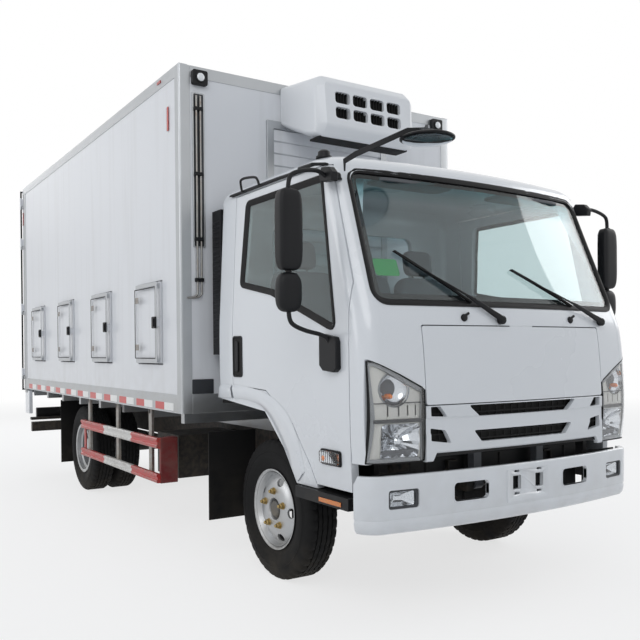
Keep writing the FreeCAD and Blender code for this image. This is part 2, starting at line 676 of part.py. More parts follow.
def cab_shells():
    skin = cab_skin()
    gap = size("seam_gap")
    door_hole = loose_prism(DOOR, gap, -1400, -600)
    roof_split = 2155
    front_edge = [(-1400, 0), (-856, 0), (-856, 1571), (-669, 2073), (-639, roof_split), (-1400, roof_split)]
    # roof
    roof = skin.common(slab((-1400, 1400), (-1400, 900), (roof_split, 2600)))
    subpart("cab_roof", made(roof))
    # nose: front skin and screen pillars
    nose = skin.common(side_prism(front_edge)).cut(front_prism(WINDSCREEN, 70, -1400, -600))
    for outline in (grown(NOSE_PANEL, gap), grown(GRILLE, 0.3)):
        nose = nose.cut(front_prism(outline, 12, -1400, -600))
    lamp_zone = front_prism(grown(LAMP, 0.3), 0, -1400, LAMP_REAR + 0.3)
    nose = nose.cut(lamp_zone).cut(lamp_zone.mirror(Vector(), Vector(1, 0, 0)))
    nose = main_solid(nose.cut(slab((-1400, 1400), (-1400, -800), (0, 748))))
    for side in (-1, 1):
        for low in (760, 1300):
            nose = nose.fuse(Part.makeCylinder(2.8, 60, Vector(side * 927.5, -853.4, low)))
    subpart("cab_front", made(nose))
    # sides and rear wall
    rest = skin.cut(slab((-1400, 1400), (-1400, 900), (roof_split, 2600)))
    rest = rest.cut(door_hole).cut(across(door_hole))
    rest = rest.cut(slab((-1400, 1400), (-1400, 298 + gap), (1075, 2600)))
    window = [(-560, 1500), (560, 1500), (560, 2040), (-560, 2040)]
    rest = rest.cut(front_prism(window, 60, 200, 900))
    rest = rest.common(slab((-1400, 1400), (-560, 900), (0, 2600)))
    subpart("cab_body", made(main_solid(rest)))
    # doors
    door = skin.common(side_prism(DOOR, 0, -1400, -600)).cut(side_prism(DOOR_WINDOW, 35, -1400, -600))
    subpart("cab_door_right", made(main_solid(door)))
    subpart("cab_door_left", made(across(main_solid(door))))
    # front pieces sharing the skin's form
    panel = skin_layer(size("lid_thick")).common(front_prism(NOSE_PANEL, 14, -1400, -600))
    hinge = Part.makeCylinder(2.4, 160, Vector(-80, -1026, 1372.3), Vector(1, 0, 0))
    subpart("front_panel", made(main_solid(panel.fuse(hinge))))
    grille = skin_layer(30).common(front_prism(GRILLE, 12, -1400, -600))
    for low, high in ((800, 840), (895, 985)):
        opening = [(-270, low), (270, low), (300, high), (-300, high)]
        grille = grille.cut(front_prism(opening, 8, -1400, -600))
        for side in (-1, 1):
            slot = [(side * 360, low), (side * 590, low), (side * 590, high), (side * 330, high)]
            grille = grille.cut(front_prism(slot, 8, -1400, -600))
    subpart("grille", made(grille))
    lamp = skin.common(front_prism(LAMP, 0, -1400, LAMP_REAR))
    lamps = Part.makeCompound([lamp, lamp.mirror(Vector(), Vector(1, 0, 0))])
    subpart("headlamps", made(lamps))
    # glass
    layer = cab_solid(8).cut(cab_solid(8 + size("glass_thick"), 30))
    screen = layer.common(front_prism(grown(WINDSCREEN, -0.5), 69.5, -1400, -600))
    rear_glass = front_prism(grown(window, -0.5), 59.5, 480, 485)
    subpart("cab_glass", made(Part.makeCompound([screen, rear_glass])))
    pane = layer.common(side_prism(grown(DOOR_WINDOW, -0.5), 34.5, -1400, -600))
    subpart("door_glass_right", made(main_solid(pane)))
    subpart("door_glass_left", made(across(main_solid(pane))))


def skin_layer(depth):
    return cab_solid(0).cut(cab_solid(depth, 30))


def cab_floor():
    # Foot well in front of the wheels, a riser and the deck over the wheels and engine.
    inside = cab_solid(size("cab_wall + seat_gap"), 0)
    outline = [(-1020, 765), (-455, 765), (-455, 985), (462, 985), (462, 1025), (-495, 1025), (-495, 805),
               (-1020, 805)]
    solid = cab_solid(size("cab_wall") + 6).common(side_prism(outline))
    seated = side_prism(outline).common(inside)
    solid = solid.fuse([seated.common(slab((-1400, 1400), (310, 900), (0, 2000))),
                        seated.common(slab((-1400, 1400), (-1400, -884), (0, 2000)))])
    station = size("tilt_station")
    height = size("tilt_height")
    for side in (-1, 1):
        arm = slab((side * 225 - 25, side * 225 + 25), (station - 12, station + 30), (height, 770))
        arm = arm.fuse(Part.makeCylinder(26, 50, Vector(side * 225 - 25, station, height), Vector(1, 0, 0)))
        solid = solid.fuse(arm)
    bore_radius = size("tilt_pin + running_gap")
    bore = Part.makeCylinder(bore_radius, 600, Vector(-300, station, height), Vector(1, 0, 0))
    subpart("cab_floor", made(main_solid(solid.cut(bore))))


def cab_steps():
    board = brick(("770", "945"), ("-856", "-402"), ("530", "586"))
    stay = brick(("740", "770"), ("-820", "-480"), ("530", "765 - seat_gap"))
    subpart("cab_steps", both_sides(fused(board, stay)))


def dashboard():
    inside = cab_solid(size("cab_wall") + 6)
    outline = [(-960, 1380), (-720, 1372), (-640, 1300), (-660, 1120), (-760, 1010), (-900, 960), (-1012, 960),
               (-1012, 1300)]
    deck = side_prism(outline, 25).common(inside)
    deck = deck.cut(side_prism([(-1100, 1010), (-955, 1010), (-955, 1300), (-1100, 1300)], 10))
    column = Part.makeCylinder(38, 250, Vector(400, -800, 1130), Vector(0, 0.50, 0.62))
    console = slab((-90, 90), (-880, -760), (805.3, 1040))
    subpart("dashboard", made(main_solid(deck.fuse([column, console]).removeSplitter())))


def steering_wheel():
    axis = Vector(0, 0.50, 0.62).normalize()
    foot = Vector(400, -800, 1130) + axis * 250.5
    hub = foot + axis * 75
    rim = Part.makeTorus(size("wheel_rim"), 14, hub, axis)
    boss = Part.makeCylinder(42, 34, hub - axis * 22, axis)
    shaft = Part.makeCylinder(17, 60, foot, axis)
    across = Vector(1, 0, 0)
    shapes = [boss, shaft]
    for angle in (0, 180, 270):
        spoke = Part.makeCylinder(11, size("wheel_rim"), hub, across)
        spoke.rotate(hub, axis, angle)
        shapes.append(spoke)
    subpart("steering_wheel", made(rim.fuse(shapes).removeSplitter()))


def seat(centre, width, headrest):
    half = width / 2
    base = slab((centre - half, centre + half), (-430, 80), (1025.3, 1240))
    back = side_prism([(60, 1180), (170, 1180), (270, 1740), (190, 1760)], 0, centre - half, centre + half)
    head = side_prism([(205, 1735), (275, 1730), (300, 1930), (235, 1935)], 0, centre - 120, centre + 120)
    shape = base.fuse([back, head]) if headrest else base.fuse(back)
    return shape.removeSplitter()


def seats():
    places = [seat(430, 500, True), seat(-40, 360, False), seat(-500, 480, True)]
    subpart("seats", made(Part.makeCompound(places)))


def door_mirrors():
    post = size("mirror_post")
    reach = -1140
    arm = tube_along([Vector(-905, -668, 2085), Vector(-1000, -690, 2100), Vector(reach, -690, 2060),
                      Vector(reach, -690, 1385), Vector(-1000, -690, 1345), Vector(-934, -690, 1300)], post)
    base = slab((-955, -931.5), (-768, -580), (1160, 1325))
    big = slab((-1215, -1060), (-712, -664), (1640, 1990))
    small = slab((-1215, -1060), (-712, -664), (1448, 1612))
    solid = arm.fuse([base, big, small]).removeSplitter()
    solid = solid.cut(cab_solid(-0.3))
    solid = max(solid.Solids, key=lambda piece: piece.Volume)
    subpart("door_mirrors_right", made(solid))
    subpart("door_mirrors_left", made(across(solid)))


def kerb_mirror():
    arm = tube_along([Vector(-860, -715, 2100), Vector(-895, -785, 2135), Vector(-640, -962, 2274),
                      Vector(-585, -985, 2274), Vector(-578, -988, 2240)], 9)
    disc = Part.makeCylinder(128, 30, Vector(-575, -988, 2222), Vector(0, 0.06, 1))
    arm = main_solid(arm.cut(cab_solid(-0.3)))
    subpart("kerb_mirror", made(arm.fuse(disc)))


def air_intake():
    duct = brick(("-900", "-745"), ("cab_rear + seat_gap", "cab_rear + 118"), ("1240", "2118"))
    subpart("air_intake", duct)


def build_all():
    chassis_frame()
    engine_block()
    driveline()
    front_axle()
    knuckle("knuckle_right", True)
    knuckle("knuckle_left", False)
    rear_axle()
    leaf_springs()
    exhaust()
    fuel_tank()
    battery_box()
    mudguards()
    side_guards()
    rear_underrun()
    front_bumper()
    for side, right in (("right", True), ("left", False)):
        front_wheel(side, right)
        rear_wheels(side, right)
        box_wall(f"box_wall_{side}", right)
        vent_hatches(side, right)
        rear_door(f"rear_door_{side}", right)
    box_floor()
    box_roof()
    box_front_wall()
    box_rear_frame()
    cooling_unit()
    cab_shells()
    cab_floor()
    cab_steps()
    dashboard()
    steering_wheel()
    seats()
    door_mirrors()
    kerb_mirror()
    air_intake()


def check_all():
    doc.recompute()
    for item in doc.Objects:
        if any(word in item.State for word in ("Invalid", "Error")):
            raise RuntimeError(f"{item.Label} ({item.Name}) did not build: {item.State}")
    for label, item in parts.items():
        shape = item.Shape
        if shape.isNull() or not shape.isValid() or not shape.Solids:
            raise RuntimeError(f"{label} is not a valid solid")


build_all()
check_all()
os.makedirs("parts", exist_ok=True)
for label, item in parts.items():
    item.Shape.exportStep(f"parts/{label}.step")
    print(label, len(item.Shape.Solids), round(item.Shape.Volume / 1e6, 2), item.Shape.BoundBox)
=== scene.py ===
import math

import bmesh
import bpy
from mathutils import Matrix, Vector
from mathutils.bvhtree import BVHTree


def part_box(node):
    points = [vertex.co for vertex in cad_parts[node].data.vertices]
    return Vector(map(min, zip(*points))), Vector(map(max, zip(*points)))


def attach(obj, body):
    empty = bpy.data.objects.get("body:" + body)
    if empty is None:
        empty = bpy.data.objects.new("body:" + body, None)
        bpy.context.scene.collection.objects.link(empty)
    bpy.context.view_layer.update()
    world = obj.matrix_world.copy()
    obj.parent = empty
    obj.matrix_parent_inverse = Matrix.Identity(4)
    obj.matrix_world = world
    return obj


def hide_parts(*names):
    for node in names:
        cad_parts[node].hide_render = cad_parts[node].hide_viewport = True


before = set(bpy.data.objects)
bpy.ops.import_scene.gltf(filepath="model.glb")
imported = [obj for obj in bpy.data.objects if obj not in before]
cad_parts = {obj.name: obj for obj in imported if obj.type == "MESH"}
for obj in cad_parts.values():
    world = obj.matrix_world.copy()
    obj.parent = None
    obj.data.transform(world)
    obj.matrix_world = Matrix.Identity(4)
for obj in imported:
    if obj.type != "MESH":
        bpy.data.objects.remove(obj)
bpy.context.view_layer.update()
print("frame loaded")

# Metres. +Z up, the cab faces -Y, the kerb side is -X.
axleFront = -1.9225     # station of the front axle along Y
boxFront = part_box("box_front_wall")[0].y
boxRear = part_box("rear_door_right")[1].y
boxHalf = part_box("box_roof")[1].x
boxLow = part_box("box_wall_right")[0].z
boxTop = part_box("box_roof")[1].z


# ---------- node helpers

def addNode(tree, kind, inputs=None, **settings):
    made = tree.nodes.new(kind)
    for name, value in settings.items():
        setattr(made, name, value)
    for name, value in (inputs or {}).items():
        if isinstance(value, bpy.types.NodeSocket):
            tree.links.new(value, made.inputs[name])
        else:
            made.inputs[name].default_value = value
    return made


def maths(tree, operation, *values):
    return addNode(tree, "ShaderNodeMath", dict(enumerate(values)), operation=operation).outputs[0]


def startGroup(name, inputs, outputs):
    tree = bpy.data.node_groups.new(name, "ShaderNodeTree")
    for label, kind, value in inputs:
        socket = tree.interface.new_socket(label, in_out="INPUT", socket_type="NodeSocket" + kind)
        socket.default_value = value
    for label, kind in outputs:
        tree.interface.new_socket(label, in_out="OUTPUT", socket_type="NodeSocket" + kind)
    return tree, tree.nodes.new("NodeGroupInput").outputs, tree.nodes.new("NodeGroupOutput").inputs


def endGroup(tree, outs, **results):
    for name, socket in results.items():
        tree.links.new(socket, outs[name.replace("_", " ")])
    return tree


def objectNoise(tree, scale, detail=4.0, stretch=None):
    place = addNode(tree, "ShaderNodeTexCoord").outputs["Object"]
    if stretch:
        place = addNode(tree, "ShaderNodeMapping", {"Vector": place, "Scale": stretch}).outputs[0]
    return addNode(tree, "ShaderNodeTexNoise", {"Vector": place, "Scale": scale, "Detail": detail}).outputs["Fac"]


def mixColour(tree, amount, first, second, blend="MIX"):
    mixed = addNode(tree, "ShaderNodeMix", {"Factor": amount, 6: first, 7: second},
                    data_type="RGBA", blend_type=blend)
    return mixed.outputs[2]


def mapRange(tree, value, fromLow, fromHigh, toLow=0.0, toHigh=1.0):
    return addNode(tree, "ShaderNodeMapRange", {
        "Value": value, "From Min": fromLow, "From Max": fromHigh, "To Min": toLow, "To Max": toHigh}).outputs[0]


def makeMottle():
    tree, ins, outs = startGroup("mottle", [
        ("Color", "Color", (0.8, 0.8, 0.8, 1)), ("Scale", "Float", 3.0), ("Amount", "Float", 0.05),
        ("Roughness", "Float", 0.4), ("Rough Spread", "Float", 0.05)], [("Color", "Color"), ("Roughness", "Float")])
    cloud = objectNoise(tree, ins["Scale"])
    signed = maths(tree, "MULTIPLY_ADD", cloud, 2.0, -1.0)
    lift = maths(tree, "MULTIPLY_ADD", signed, ins["Amount"], 1.0)
    tinted = addNode(tree, "ShaderNodeVectorMath", {0: ins["Color"], "Scale": lift}, operation="SCALE").outputs[0]
    rough = maths(tree, "MULTIPLY_ADD", signed, ins["Rough Spread"], ins["Roughness"])
    return endGroup(tree, outs, Color=tinted, Roughness=rough)


def makeDust():
    tree, ins, outs = startGroup("roadDust", [
        ("Color", "Color", (0.8, 0.8, 0.8, 1)), ("Dust Color", "Color", (0.3, 0.25, 0.2, 1)),
        ("Low", "Float", 0.2), ("High", "Float", 0.8), ("Amount", "Float", 0.4)], [("Color", "Color"), ("Mask", "Float")])
    place = addNode(tree, "ShaderNodeTexCoord").outputs["Object"]
    height = addNode(tree, "ShaderNodeSeparateXYZ", {"Vector": place}).outputs["Z"]
    fall = mapRange(tree, height, ins["Low"], ins["High"], 1.0, 0.0)
    cloud = mapRange(tree, objectNoise(tree, 9.0, 8.0), 0.35, 0.7)
    mask = maths(tree, "MULTIPLY", maths(tree, "MULTIPLY", fall, cloud), ins["Amount"])
    return endGroup(tree, outs, Color=mixColour(tree, mask, ins["Color"], ins["Dust Color"]), Mask=mask)


def makeWear():
    tree, ins, outs = startGroup("edgeWear", [
        ("Color", "Color", (0.8, 0.8, 0.8, 1)), ("Wear Color", "Color", (0.5, 0.5, 0.5, 1)),
        ("Amount", "Float", 0.5)], [("Color", "Color"), ("Mask", "Float")])
    edge = mapRange(tree, addNode(tree, "ShaderNodeNewGeometry").outputs["Pointiness"], 0.515, 0.6)
    broken = mapRange(tree, objectNoise(tree, 35.0, 6.0), 0.4, 0.6)
    mask = maths(tree, "MULTIPLY", maths(tree, "MULTIPLY", edge, broken), ins["Amount"])
    return endGroup(tree, outs, Color=mixColour(tree, mask, ins["Color"], ins["Wear Color"]), Mask=mask)


def makeStreaks():
    tree, ins, outs = startGroup("rainStreaks", [
        ("Color", "Color", (0.8, 0.8, 0.8, 1)), ("Streak Color", "Color", (0.5, 0.48, 0.45, 1)),
        ("Amount", "Float", 0.2)], [("Color", "Color"), ("Mask", "Float")])
    runs = mapRange(tree, objectNoise(tree, 1.0, 3.0, (14, 14, 0.7)), 0.5, 0.75)
    mask = maths(tree, "MULTIPLY", runs, ins["Amount"])
    return endGroup(tree, outs, Color=mixColour(tree, mask, ins["Color"], ins["Streak Color"]), Mask=mask)


def makeGrain():
    tree, ins, outs = startGroup("fineGrain", [
        ("Scale", "Float", 200.0), ("Coarse", "Float", 0.3)], [("Height", "Float")])
    fine = objectNoise(tree, ins["Scale"], 3.0)
    coarse = objectNoise(tree, maths(tree, "MULTIPLY", ins["Scale"], 0.07), 2.0)
    return endGroup(tree, outs, Height=maths(tree, "MULTIPLY_ADD", coarse, ins["Coarse"], fine))


def makeBrushed():
    tree, ins, outs = startGroup("brushed", [
        ("Along", "Vector", (400, 400, 4)), ("Roughness", "Float", 0.35)], [("Height", "Float"), ("Roughness", "Float")])
    place = addNode(tree, "ShaderNodeTexCoord").outputs["Object"]
    drawn = addNode(tree, "ShaderNodeVectorMath", {0: place, 1: ins["Along"]}, operation="MULTIPLY").outputs[0]
    lines = addNode(tree, "ShaderNodeTexNoise", {"Vector": drawn, "Scale": 1.0, "Detail": 3.0}).outputs["Fac"]
    rough = maths(tree, "MULTIPLY_ADD", lines, 0.16, maths(tree, "SUBTRACT", ins["Roughness"], 0.08))
    return endGroup(tree, outs, Height=lines, Roughness=rough)


groups = {"mottle": makeMottle(), "dust": makeDust(), "wear": makeWear(), "streaks": makeStreaks(),
          "grain": makeGrain(), "brushed": makeBrushed()}


def placeGroup(tree, name, inputs):
    made = tree.nodes.new("ShaderNodeGroup")
    made.node_tree = groups[name]
    for label, value in inputs.items():
        if isinstance(value, bpy.types.NodeSocket):
            tree.links.new(value, made.inputs[label])
        else:
            made.inputs[label].default_value = value
    return made.outputs


def rgb(red, green, blue):
    # Display values 0-255 to the linear colour a shader takes.
    def straight(v):
        v /= 255
        return v / 12.92 if v <= 0.04045 else ((v + 0.055) / 1.055) ** 2.4
    return (straight(red), straight(green), straight(blue), 1.0)


dustColour = rgb(150, 140, 124)
mats = {}


def makeFinish(name, color, rough, metallic=0.0, coat=0.0, mottle=(3.0, 0.03, 0.04), dust=None, wear=None,
               streaks=None, grain=None, brushed=None, sockets=None):
    # One Principled finish; each shared effect is placed with this finish's own values.
    mat = bpy.data.materials.new(name)
    mat.use_nodes = True
    tree = mat.node_tree
    shader = tree.nodes["Principled BSDF"]
    out = placeGroup(tree, "mottle", {"Color": color, "Scale": mottle[0], "Amount": mottle[1],
                                      "Roughness": rough, "Rough Spread": mottle[2]})
    colour, roughness = out["Color"], out["Roughness"]
    if wear:
        colour = placeGroup(tree, "wear", {"Color": colour, "Wear Color": wear[0], "Amount": wear[1]})["Color"]
    if streaks:
        colour = placeGroup(tree, "streaks", {"Color": colour, "Streak Color": streaks[0],
                                              "Amount": streaks[1]})["Color"]
    if dust:
        dusted = placeGroup(tree, "dust", {"Color": colour, "Dust Color": dustColour, "Low": dust[0],
                                           "High": dust[1], "Amount": dust[2]})
        colour = dusted["Color"]
        roughness = maths(tree, "MULTIPLY_ADD", dusted["Mask"], 0.4, roughness)
    height = None
    if brushed:
        lines = placeGroup(tree, "brushed", {"Along": brushed[0], "Roughness": rough})
        roughness, height = lines["Roughness"], lines["Height"]
    if grain:
        height = placeGroup(tree, "grain", {"Scale": grain[0], "Coarse": grain[2]})["Height"]
    if height:
        depth = grain[1] if grain else brushed[1]
        bump = addNode(tree, "ShaderNodeBump", {"Height": height, "Strength": 0.5, "Distance": depth})
        tree.links.new(bump.outputs[0], shader.inputs["Normal"])
    tree.links.new(colour, shader.inputs["Base Color"])
    tree.links.new(roughness, shader.inputs["Roughness"])
    shader.inputs["Metallic"].default_value = metallic
    shader.inputs["Coat Weight"].default_value = coat
    shader.inputs["Coat Roughness"].default_value = 0.06
    for label, value in (sockets or {}).items():
        shader.inputs[label].default_value = value
    mats[name] = mat
    return mat


# ---------- finishes

makeFinish("whitePaint", rgb(226, 229, 233), 0.28, coat=0.6, mottle=(1.4, 0.012, 0.03),
           dust=(0.35, 0.95, 0.16), grain=(60, 0.0002, 1.0))
makeFinish("boxPanel", rgb(224, 226, 230), 0.36, coat=0.25, mottle=(0.9, 0.02, 0.05),
           dust=(0.85, 1.25, 0.18), streaks=(rgb(178, 176, 172), 0.14), grain=(22, 0.0008, 1.2))
makeFinish("boxRoof", rgb(222, 224, 228), 0.4, mottle=(1.2, 0.03, 0.05), grain=(22, 0.0008, 1.2))
makeFinish("chassisBlack", rgb(24, 25, 27), 0.55, mottle=(6, 0.25, 0.1), wear=(rgb(76, 66, 58), 0.4),
           dust=(0.2, 1.1, 0.2), grain=(160, 0.0004, 0.6), sockets={"Specular IOR Level": 0.25})
makeFinish("castMetal", rgb(92, 94, 96), 0.6, metallic=0.6, mottle=(9, 0.2, 0.1),
           wear=(rgb(150, 146, 140), 0.5), dust=(0.3, 1.1, 0.5), grain=(140, 0.0008, 1.0))
makeFinish("plainSteel", rgb(150, 150, 148), 0.42, metallic=0.85, mottle=(7, 0.18, 0.12),
           wear=(rgb(122, 88, 62), 0.45), dust=(0.25, 1.0, 0.35), grain=(180, 0.0003, 0.8))
makeFinish("guardPaint", rgb(206, 206, 204), 0.42, mottle=(5, 0.06, 0.08), wear=(rgb(120, 112, 104), 0.6),
           dust=(0.25, 0.85, 0.45), grain=(120, 0.0003, 0.8))
makeFinish("blackRubber", rgb(15, 15, 16), 0.72, mottle=(12, 0.25, 0.08), dust=(0.1, 0.7, 0.1),
           grain=(240, 0.0005, 0.5), sockets={"Specular IOR Level": 0.2})
makeFinish("wheelSilver", rgb(182, 184, 186), 0.36, metallic=0.75, mottle=(14, 0.07, 0.08),
           wear=(rgb(120, 116, 110), 0.45), dust=(0.1, 0.62, 0.3), grain=(200, 0.0002, 0.6))
makeFinish("tyreRubber", rgb(19, 19, 20), 0.8, mottle=(16, 0.2, 0.07), dust=(0.0, 0.3, 0.16),
           grain=(300, 0.0005, 0.6), sockets={"Specular IOR Level": 0.22})
makeFinish("edgeMetal", rgb(176, 179, 182), 0.36, metallic=0.8, mottle=(4, 0.08, 0.06),
           dust=(0.8, 1.2, 0.25), brushed=((60, 60, 60), 0.0001))
makeFinish("coolerShell", rgb(232, 234, 237), 0.38, coat=0.2, mottle=(2.5, 0.02, 0.04), grain=(150, 0.0002, 0.8))
makeFinish("cabTrim", rgb(92, 94, 98), 0.62, mottle=(8, 0.06, 0.06), grain=(420, 0.0005, 0.4))
makeFinish("darkTrim", rgb(44, 45, 48), 0.55, mottle=(8, 0.08, 0.06), grain=(420, 0.0004, 0.4))
makeFinish("blackPlastic", rgb(19, 20, 23), 0.46, mottle=(10, 0.14, 0.08), dust=(0.2, 0.8, 0.1),
           grain=(380, 0.0003, 0.4), sockets={"Specular IOR Level": 0.24})
makeFinish("whitePlastic", rgb(222, 225, 229), 0.32, coat=0.4, mottle=(2, 0.014, 0.03),
           dust=(0.4, 1.0, 0.14), grain=(80, 0.0002, 0.9))
makeFinish("gasket", rgb(15, 15, 17), 0.6, mottle=(20, 0.2, 0.08), grain=(260, 0.0003, 0.5),
           sockets={"Specular IOR Level": 0.25})
makeFinish("chrome", rgb(208, 210, 213), 0.12, metallic=1.0, mottle=(12, 0.04, 0.05))
makeFinish("mirrorGlass", rgb(196, 202, 208), 0.05, metallic=1.0, mottle=(8, 0.02, 0.02))
makeFinish("amber", rgb(224, 118, 26), 0.2, coat=0.6, mottle=(30, 0.08, 0.04),
           sockets={"Subsurface Weight": 0.2})
makeFinish("redLens", rgb(176, 22, 18), 0.2, coat=0.6, mottle=(40, 0.1, 0.04))
makeFinish("tapeRed", rgb(196, 34, 30), 0.34, coat=0.3, mottle=(60, 0.1, 0.06), grain=(260, 0.0002, 0.2))
makeFinish("tapeWhite", rgb(232, 232, 230), 0.34, coat=0.3, mottle=(60, 0.05, 0.06), grain=(260, 0.0002, 0.2))
# the guard's red paint darkened as painted shade for the inward-turned end plate, with real wear and dust on top
makeFinish("maroonPaint", rgb(116, 32, 34), 0.45, mottle=(9, 0.12, 0.08), wear=(rgb(90, 80, 76), 0.5),
           dust=(0.25, 0.85, 0.3))
# near-black matte: partly the real black of cores, meshes and recesses, partly painted shade in the openings and
# hollows behind them
makeFinish("darkGap", rgb(9, 9, 10), 0.85, mottle=(10, 0.2, 0.05))
makeFinish("brassNut", rgb(168, 146, 96), 0.38, metallic=0.9, mottle=(40, 0.2, 0.1), wear=(rgb(110, 90, 62), 0.5))
makeFinish("bulbWhite", rgb(236, 238, 240), 0.2, coat=0.5, mottle=(30, 0.04, 0.03))
makeFinish("stickerGreen", rgb(38, 142, 70), 0.45, mottle=(30, 0.06, 0.05))
makeFinish("plateGrey", rgb(58, 60, 64), 0.4, metallic=0.4, mottle=(20, 0.12, 0.08))
makeFinish("seatFabric", rgb(104, 108, 114), 0.85, mottle=(30, 0.1, 0.05), grain=(900, 0.0008, 0.5))
makeFinish("seatVinyl", rgb(70, 73, 80), 0.5, mottle=(12, 0.08, 0.06), grain=(420, 0.0006, 0.5))


def makeClear(name, tint, rough, topBand=None, film=None):
    # Clear sheet that lets lamps through; topBand is (height low, height high, colour).
    mat = bpy.data.materials.new(name)
    mat.use_nodes = True
    tree = mat.node_tree
    shader = tree.nodes["Principled BSDF"]
    out = placeGroup(tree, "mottle", {"Color": tint, "Scale": 2.0, "Amount": 0.02,
                                      "Roughness": rough, "Rough Spread": rough * 0.5})
    colour = out["Color"]
    if topBand:
        place = addNode(tree, "ShaderNodeTexCoord").outputs["Object"]
        height = addNode(tree, "ShaderNodeSeparateXYZ", {"Vector": place}).outputs["Z"]
        colour = mixColour(tree, mapRange(tree, height, topBand[0], topBand[1]), colour, topBand[2])
    tree.links.new(colour, shader.inputs["Base Color"])
    tree.links.new(out["Roughness"], shader.inputs["Roughness"])
    shader.inputs["Transmission Weight"].default_value = 1.0
    shader.inputs["IOR"].default_value = 1.45
    through = addNode(tree, "ShaderNodeBsdfTransparent", {"Color": tint})
    shadow = addNode(tree, "ShaderNodeLightPath").outputs["Is Shadow Ray"]
    mixed = addNode(tree, "ShaderNodeMixShader", {0: shadow, 1: shader.outputs[0], 2: through.outputs[0]})
    tree.links.new(mixed.outputs[0], tree.nodes["Material Output"].inputs["Surface"])
    mats[name] = mat
    return mat


makeClear("clearGlass", rgb(226, 238, 240), 0.02, (1.98, 2.09, rgb(96, 168, 176)))
makeClear("sideGlass", rgb(206, 220, 220), 0.02)
makeClear("lampLens", rgb(246, 248, 250), 0.03)
makeClear("amberLens", rgb(250, 170, 60), 0.05)

slotFinish = {
    "white_paint": "whitePaint", "chassis_black": "chassisBlack", "cast_metal": "castMetal",
    "plain_steel": "plainSteel", "guard_paint": "guardPaint", "black_rubber": "blackRubber",
    "wheel_silver": "wheelSilver", "tyre_rubber": "tyreRubber", "box_panel": "boxPanel",
    "edge_metal": "edgeMetal", "cooler_shell": "coolerShell", "cab_trim": "cabTrim",
    "seat_cloth": "seatFabric", "clear_glass": "clearGlass", "lamp_lens": "lampLens",
    "black_plastic": "blackPlastic", "white_plastic": "whitePlastic"}
nodeFinish = {"box_roof": "boxRoof", "door_glass_right": "sideGlass", "door_glass_left": "sideGlass"}
for nodeName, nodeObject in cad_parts.items():
    slotName = nodeObject.data.materials[0].name.split(".")[0]
    nodeObject.material_slots[0].material = mats[nodeFinish.get(nodeName, slotFinish[slotName])]
print("finishes made")


# ---------- mesh helpers

def box(bm, low, high, paint=0, turn=None):
    # Six-sided block between two corners.
    low, high = Vector(low), Vector(high)
    corners = [Vector((x, y, z)) for x in (low.x, high.x) for y in (low.y, high.y) for z in (low.z, high.z)]
    if turn:
        corners = [turn @ c for c in corners]
    v = [bm.verts.new(c) for c in corners]
    for face in ((0, 1, 3, 2), (4, 6, 7, 5), (0, 4, 5, 1), (2, 3, 7, 6), (0, 2, 6, 4), (1, 5, 7, 3)):
        bm.faces.new([v[i] for i in face]).material_index = paint


def onPlane(plane, level, u, v):
    return {"x": Vector((level, u, v)), "y": Vector((u, level, v)), "z": Vector((u, v, level))}[plane]


def prism(bm, outline, plane, low, high, paint=0):
    # Outline in the two other axes, extruded along the named one.
    near = [bm.verts.new(onPlane(plane, low, u, v)) for u, v in outline]
    far = [bm.verts.new(onPlane(plane, high, u, v)) for u, v in outline]
    faces = [bm.faces.new(near), bm.faces.new(list(reversed(far)))]
    for i in range(len(outline)):
        j = (i + 1) % len(outline)
        faces.append(bm.faces.new((near[j], near[i], far[i], far[j])))
    for face in faces:
        face.material_index = paint
    return faces


def frameRing(bm, outer, inner, plane, low, high, paint=0):
    # Flat frame between two outlines with as many points as each other.
    rows = [[bm.verts.new(onPlane(plane, level, u, v)) for u, v in line]
            for line, level in ((outer, low), (outer, high), (inner, high), (inner, low))]
    for k in range(4):
        a, b = rows[k], rows[(k + 1) % 4]
        for i in range(len(outer)):
            j = (i + 1) % len(outer)
            bm.faces.new((a[i], a[j], b[j], b[i])).material_index = paint


def roundRect(lowU, highU, lowV, highV, radius, steps=5):
    points = []
    for u, v, start in ((highU - radius, highV - radius, 0), (lowU + radius, highV - radius, 90),
                        (lowU + radius, lowV + radius, 180), (highU - radius, lowV + radius, 270)):
        for i in range(steps + 1):
            angle = math.radians(start + 90 * i / steps)
            points.append((u + radius * math.cos(angle), v + radius * math.sin(angle)))
    return points


def circle(u, v, radius, steps=24):
    return [(u + radius * math.cos(2 * math.pi * i / steps), v + radius * math.sin(2 * math.pi * i / steps))
            for i in range(steps)]


def turned(bm, profile, centre, along="x", steps=32, paint=0, closed=False):
    # Profile of (distance along the axis, radius) turned about the axis.
    centre = Vector(centre)
    rows = []
    for along_, radius in profile:
        row = []
        for i in range(steps):
            a = 2 * math.pi * i / steps
            c, s = radius * math.cos(a), radius * math.sin(a)
            row.append(bm.verts.new(centre + {"x": Vector((along_, c, s)), "y": Vector((s, along_, c)),
                                              "z": Vector((c, s, along_))}[along]))
        rows.append(row)
    pairs = list(zip(rows, rows[1:])) + ([(rows[-1], rows[0])] if closed else [])
    for a, b in pairs:
        for i in range(steps):
            j = (i + 1) % steps
            bm.faces.new((a[i], b[i], b[j], a[j])).material_index = paint
    if not closed:
        bm.faces.new(rows[0]).material_index = paint
        bm.faces.new(list(reversed(rows[-1]))).material_index = paint


